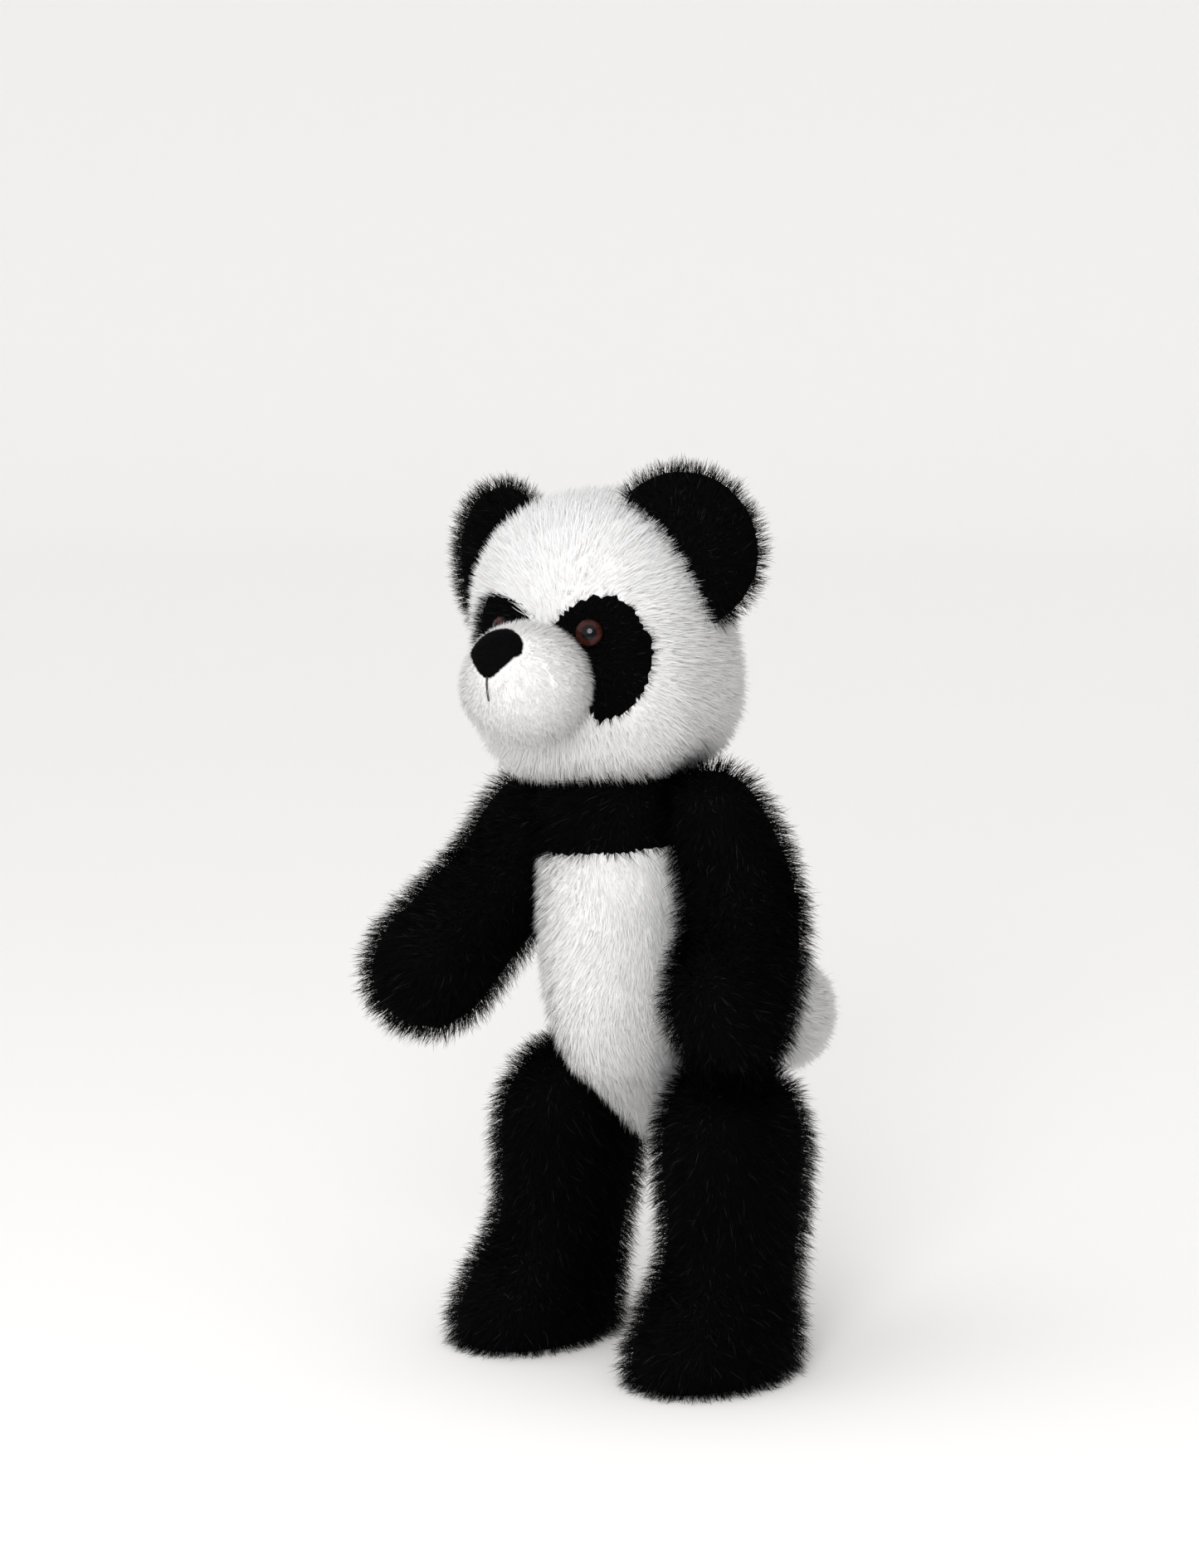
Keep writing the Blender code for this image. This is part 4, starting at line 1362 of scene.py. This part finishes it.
def dome(name: str, top: Array, across: Array, over: Array, axis: Array, rim: float,
         rise: float, skirt: float, material: bpy.types.Material) -> bpy.types.Object:
    """A turned eye: a clear dome on a short skirt, with a face map.

    Args:
        name: The piece's name.
        top: The highest point of the dome.
        across: Its sideways direction.
        over: Its upward direction.
        axis: The way it looks.
        rim: Its radius.
        rise: The dome's height over the skirt.
        skirt: The skirt's height.
        material: Its material.

    Returns:
        The object.
    """
    sides, rings = 48, 14
    profile = [(rim * math.sin(a), -rise * (1 - math.cos(a)))
               for a in np.linspace(0, math.pi / 2, rings)]
    profile += [(rim * 0.985, -rise - skirt * 0.5), (rim * 0.9, -rise - skirt),
                (rim * 0.4, -rise - skirt), (rim * 0.38, -rise - skirt * 3),
                (0.0, -rise - skirt * 3)]
    points, faces, flat = [], [], []
    rows = []
    for radius, height in profile:
        row = []
        for i in range(1 if radius < 1e-9 else sides):
            a = 2 * math.pi * i / sides
            x, y = radius * math.cos(a), radius * math.sin(a)
            row.append(len(points))
            points.append(top + across * x + over * y + axis * height)
            share = min(radius / rim, 1.0) if height > -rise - 1e-9 else 1.0
            scale = share / max(radius / rim, 1e-9) if radius > 1e-9 else 0.0
            flat.append((0.5 + x / rim * scale * 0.49, 0.5 + y / rim * scale * 0.49))
        rows.append(row)
    for a_row, b_row in zip(rows, rows[1:]):
        for i in range(sides):
            j = (i + 1) % sides
            if len(a_row) == 1:
                faces.append((a_row[0], b_row[i], b_row[j]))
            elif len(b_row) == 1:
                faces.append((a_row[i], b_row[0], a_row[j]))
            else:
                faces.append((a_row[i], b_row[i], b_row[j], a_row[j]))
    mesh = bpy.data.meshes.new(name)
    mesh.from_pydata([tuple(p) for p in points], [], faces)
    for label in (DOME_MAP, BAKE_MAP):
        layer = mesh.uv_layers.new(name=label)
        for loop in mesh.loops:
            layer.data[loop.index].uv = flat[loop.vertex_index]
    mesh.shade_smooth()
    mesh.materials.append(material)
    piece = bpy.data.objects.new(name, mesh)
    bpy.context.scene.collection.objects.link(piece)
    return piece


# ---------------------------------------------------------------- torso

@dataclass
class Torso(SoftPart):
    """Black yoke, white belly and tail."""

    def build(self) -> None:
        """Builds the torso's pieces."""
        names = ["yoke_skin", "belly_skin"]
        trunk = rounded_solid(names + ["torso_stuffing"], FINE, ROUNDS)
        owner = nearest_of(trunk.centres(), names)
        obstacles = tree_of(outer_nodes(*names))
        for k, (label, cloth, fur, pile, parts) in enumerate((
                ("yoke", BLACK_CLOTH, BLACK_FUR, LONG, 1),
                ("belly", WHITE_CLOTH, WHITE_FUR, BELLY_PILE, 2))):
            skin = trunk.part(owner == k)
            self.cloth(f"{label}_cloth", skin, cloth, "torso", names[k])
            self.coat(f"{label}_fur", skin, pile, fur, "torso", falling, obstacles, None, parts)
        self.wadding("torso_wadding", trunk, "torso", "torso_stuffing")
        tail = rounded_solid(["tail"], FINE, 8)
        self.cloth("tail_cloth", tail, WHITE_CLOTH, "torso", "tail")
        self.coat("tail_fur", tail, SNOWY, WHITE_FUR, "torso",
                  away_from(self.stance.hips + np.array((0.0, 0.06, 0.03)), 0.3),
                  tree_of(["belly_skin"]))


# ---------------------------------------------------------------- limbs

@dataclass
class Arm(SoftPart):
    """One arm."""

    side: Side = Side.LEFT

    def build(self) -> None:
        """Builds the arm's pieces."""
        word = self.side.value
        skin_name, fill = f"arm_skin_{word}", f"arm_stuffing_{word}"
        form = rounded_solid([skin_name, fill, f"shoulder_{word}_limb_disc"], FINE, ROUNDS)
        body = f"arm_{word}"
        self.cloth(f"arm_cloth_{word}", form, BLACK_CLOTH, body, skin_name)
        shoulder = self.stance.shoulders[word]
        tip = form.points[np.argmax(np.linalg.norm(form.points - shoulder, axis=1))]
        along = unit(tip - shoulder)

        def comb(spots: Array, normals: Array) -> Array:
            """Down the arm, with a slow drift."""
            drift = np.sin(spots * 75.0)[:, [1, 2, 0]] * 0.3
            return unit(along[None, :] + drift)

        self.coat(f"arm_fur_{word}", form, LONG, BLACK_FUR, body, comb,
                  tree_of(outer_nodes(skin_name)), None, 2)
        self.wadding(f"arm_wadding_{word}", form, body, fill)


@dataclass
class Leg(SoftPart):
    """One leg with its flat sole."""

    side: Side = Side.LEFT

    def build(self) -> None:
        """Builds the leg's pieces."""
        word = self.side.value
        skin_name, fill, sole = f"leg_skin_{word}", f"leg_stuffing_{word}", f"sole_{word}"
        names = [skin_name, fill, sole, f"insole_{word}", f"hip_{word}_limb_disc"]
        form = rounded_solid(names, FINE, ROUNDS)
        form.points[:, 2] = np.maximum(form.points[:, 2], FLOOR_CLEAR)
        body = f"leg_{word}"
        owner = nearest_of(form.centres(), [skin_name, sole])
        leg = form.part(owner == 0)
        self.cloth(f"leg_cloth_{word}", leg, BLACK_CLOTH, body, skin_name)
        self.coat(f"leg_fur_{word}", leg, LONG, BLACK_FUR, body, falling,
                  tree_of(outer_nodes(skin_name)), None, 2)
        self.wadding(f"leg_wadding_{word}", form, body, fill)
        self._sole(form.part(owner == 1), sole, body)

    def _sole(self, face: Skin, node: str, body: str) -> None:
        """The sole's short-pile face.

        Args:
            face: The sole's face.
            node: The frame node that it stands for.
            body: The moving body that it rides on.
        """
        piece = face.object(f"{node}_cloth", self.finishes.of(SOLE_CLOTH))
        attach(piece, body)
        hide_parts(node)


# ---------------------------------------------------------------- hardware

@dataclass
class Hardware:
    """The bolted discs in the joints and the eyes' lock washers, which keep their own shapes.

    Attributes:
        finishes: The materials.
    """

    finishes: Finishes

    def build(self) -> None:
        """Gives each piece its finish."""
        for name, piece in FRAME["nodes"].items():
            if name.endswith("_disc") or name.startswith("insole"):
                self._dress(piece, BoardFinish())
            elif name.startswith("eye_washer"):
                self._dress(piece, MouldedFinish())
            elif name.endswith(("_washer", "_bolt", "_nut")):
                self._dress(piece, SteelFinish())

    def _dress(self, piece: bpy.types.Object, finish: Finish) -> None:
        """Assigns a finish to every slot of a frame piece."""
        for slot in piece.material_slots:
            slot.material = self.finishes.of(finish)
        LOG.info("finish %s on %s", finish.name, piece.name)


# ---------------------------------------------------------------- studio

@dataclass
class Studio:
    """Floor, light and camera.

    Attributes:
        finishes: The materials.
        stance: The frame's directions.
        distance: From the hips to the camera, along the floor.
        swing: How far the camera stands round to the panda's left, in degrees.
        height: Of the camera over the floor.
        pitch: How far it looks down, in degrees.
        yaw: How far it looks to the left of the hips, in degrees.
        lens: In millimetres on a 36 mm frame.
    """

    finishes: Finishes
    stance: Stance
    distance: float = 1.8
    swing: float = 38.0
    height: float = 0.5535
    pitch: float = 8.8
    yaw: float = 0.75
    lens: float = 4625 / 1890 * 36

    def build(self) -> None:
        """Sets the studio up."""
        self._floor()
        self._lights()
        self._camera()

    def _floor(self) -> None:
        """One sheet of pale paper that curves up behind."""
        run, back, high, bend, steps = 9.0, 6.0, 7.0, 2.0, 16
        line = [(-run, 0.0), (back - bend, 0.0)]
        for k in range(1, steps + 1):
            a = math.pi / 2 * k / steps
            line.append((back - bend + bend * math.sin(a), bend - bend * math.cos(a)))
        line.append((back, high))
        turn = Matrix.Rotation(math.radians(self.swing), 3, "Z")
        points = [turn @ Vector((x, y, z)) for y, z in line for x in (-12.0, 12.0)]
        faces = [(2 * k, 2 * k + 1, 2 * k + 3, 2 * k + 2) for k in range(len(line) - 1)]
        mesh = bpy.data.meshes.new("paper")
        mesh.from_pydata([tuple(p) for p in points], [], faces)
        mesh.shade_smooth()
        mesh.materials.append(self.finishes.of(FloorFinish()))
        floor = bpy.data.objects.new("paper", mesh)
        bpy.context.scene.collection.objects.link(floor)
        floor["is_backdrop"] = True

    def _lights(self) -> None:
        """An even room, a wide overhead light from the left and a round soft box in front."""
        world = bpy.data.worlds.new("room")
        bpy.context.scene.world = world
        world.use_nodes = True
        shade = world.node_tree.nodes["Background"]
        shade.inputs["Color"].default_value = (1.0, 0.998, 0.996, 1.0)
        shade.inputs["Strength"].default_value = 0.48
        self._lamp("key", "AREA", 1.8, 30.0, 22.0, 18.0, size=0.76)
        self._lamp("overhead", "SUN", 3.0, -10.0, 50.0, 1.6, angle=math.radians(110))

    def _lamp(self, name: str, kind: str, distance: float, swing: float, lift: float,
              power: float, **settings: float) -> None:
        """One lamp aimed at the panda's chest.

        Args:
            name: The lamp's name.
            kind: AREA or SUN.
            distance: From the chest.
            swing: How far it stands round to the panda's left, in degrees.
            lift: How far it stands above the level of the chest, in degrees.
            power: Watts for an area lamp and watts for each square metre for a sun.
            settings: Other settings of the lamp.
        """
        lamp = bpy.data.lights.new(name, kind)
        lamp.energy = power
        if kind == "AREA":
            lamp.shape = "DISK"
        for key, value in settings.items():
            setattr(lamp, key, value)
        holder = bpy.data.objects.new(name, lamp)
        chest = Vector((0.0, 0.0, 0.25))
        round_to, up = math.radians(swing), math.radians(lift)
        out = Vector((math.sin(round_to) * math.cos(up), -math.cos(round_to) * math.cos(up),
                      math.sin(up)))
        holder.location = chest + out * distance
        holder.rotation_euler = out.to_track_quat("Z", "Y").to_euler()
        bpy.context.scene.collection.objects.link(holder)

    def _camera(self) -> None:
        """The camera, in front and to the panda's left."""
        data = bpy.data.cameras.new("camera")
        data.lens = self.lens
        data.sensor_width = 36.0
        data.clip_start = 0.05
        camera = bpy.data.objects.new("camera", data)
        angle = math.radians(self.swing)
        stand = Vector((self.stance.hips[0], self.stance.hips[1] - 0.006, 0.0))
        camera.location = stand + Vector((self.distance * math.sin(angle),
                                          -self.distance * math.cos(angle), self.height))
        camera.rotation_euler = (math.radians(90 - self.pitch), 0.0,
                                 angle + math.radians(self.yaw))
        bpy.context.scene.collection.objects.link(camera)
        bpy.context.scene.camera = camera
        bpy.context.scene.view_settings.view_transform = "Standard"


# ---------------------------------------------------------------- main

def corners(box: Sequence[Vector]) -> list[list[float]]:
    """A box as plain lists."""
    return [[float(value) for value in corner] for corner in box]


def main() -> None:
    """Builds everything and works out the bounds before and after, without keeping them."""
    frame_box = corners(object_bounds())
    finishes = Finishes()
    stance = Stance()
    Studio(finishes, stance).build()
    Hardware(finishes).build()
    Head(finishes, stance).build()
    Torso(finishes, stance).build()
    for side in Side:
        Arm(finishes, stance, side).build()
        Leg(finishes, stance, side).build()
    {"frame": frame_box, "visual": corners(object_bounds())}


if __name__ == "__main__":
    logging.basicConfig(level=logging.INFO, format="%(message)s")
    main()
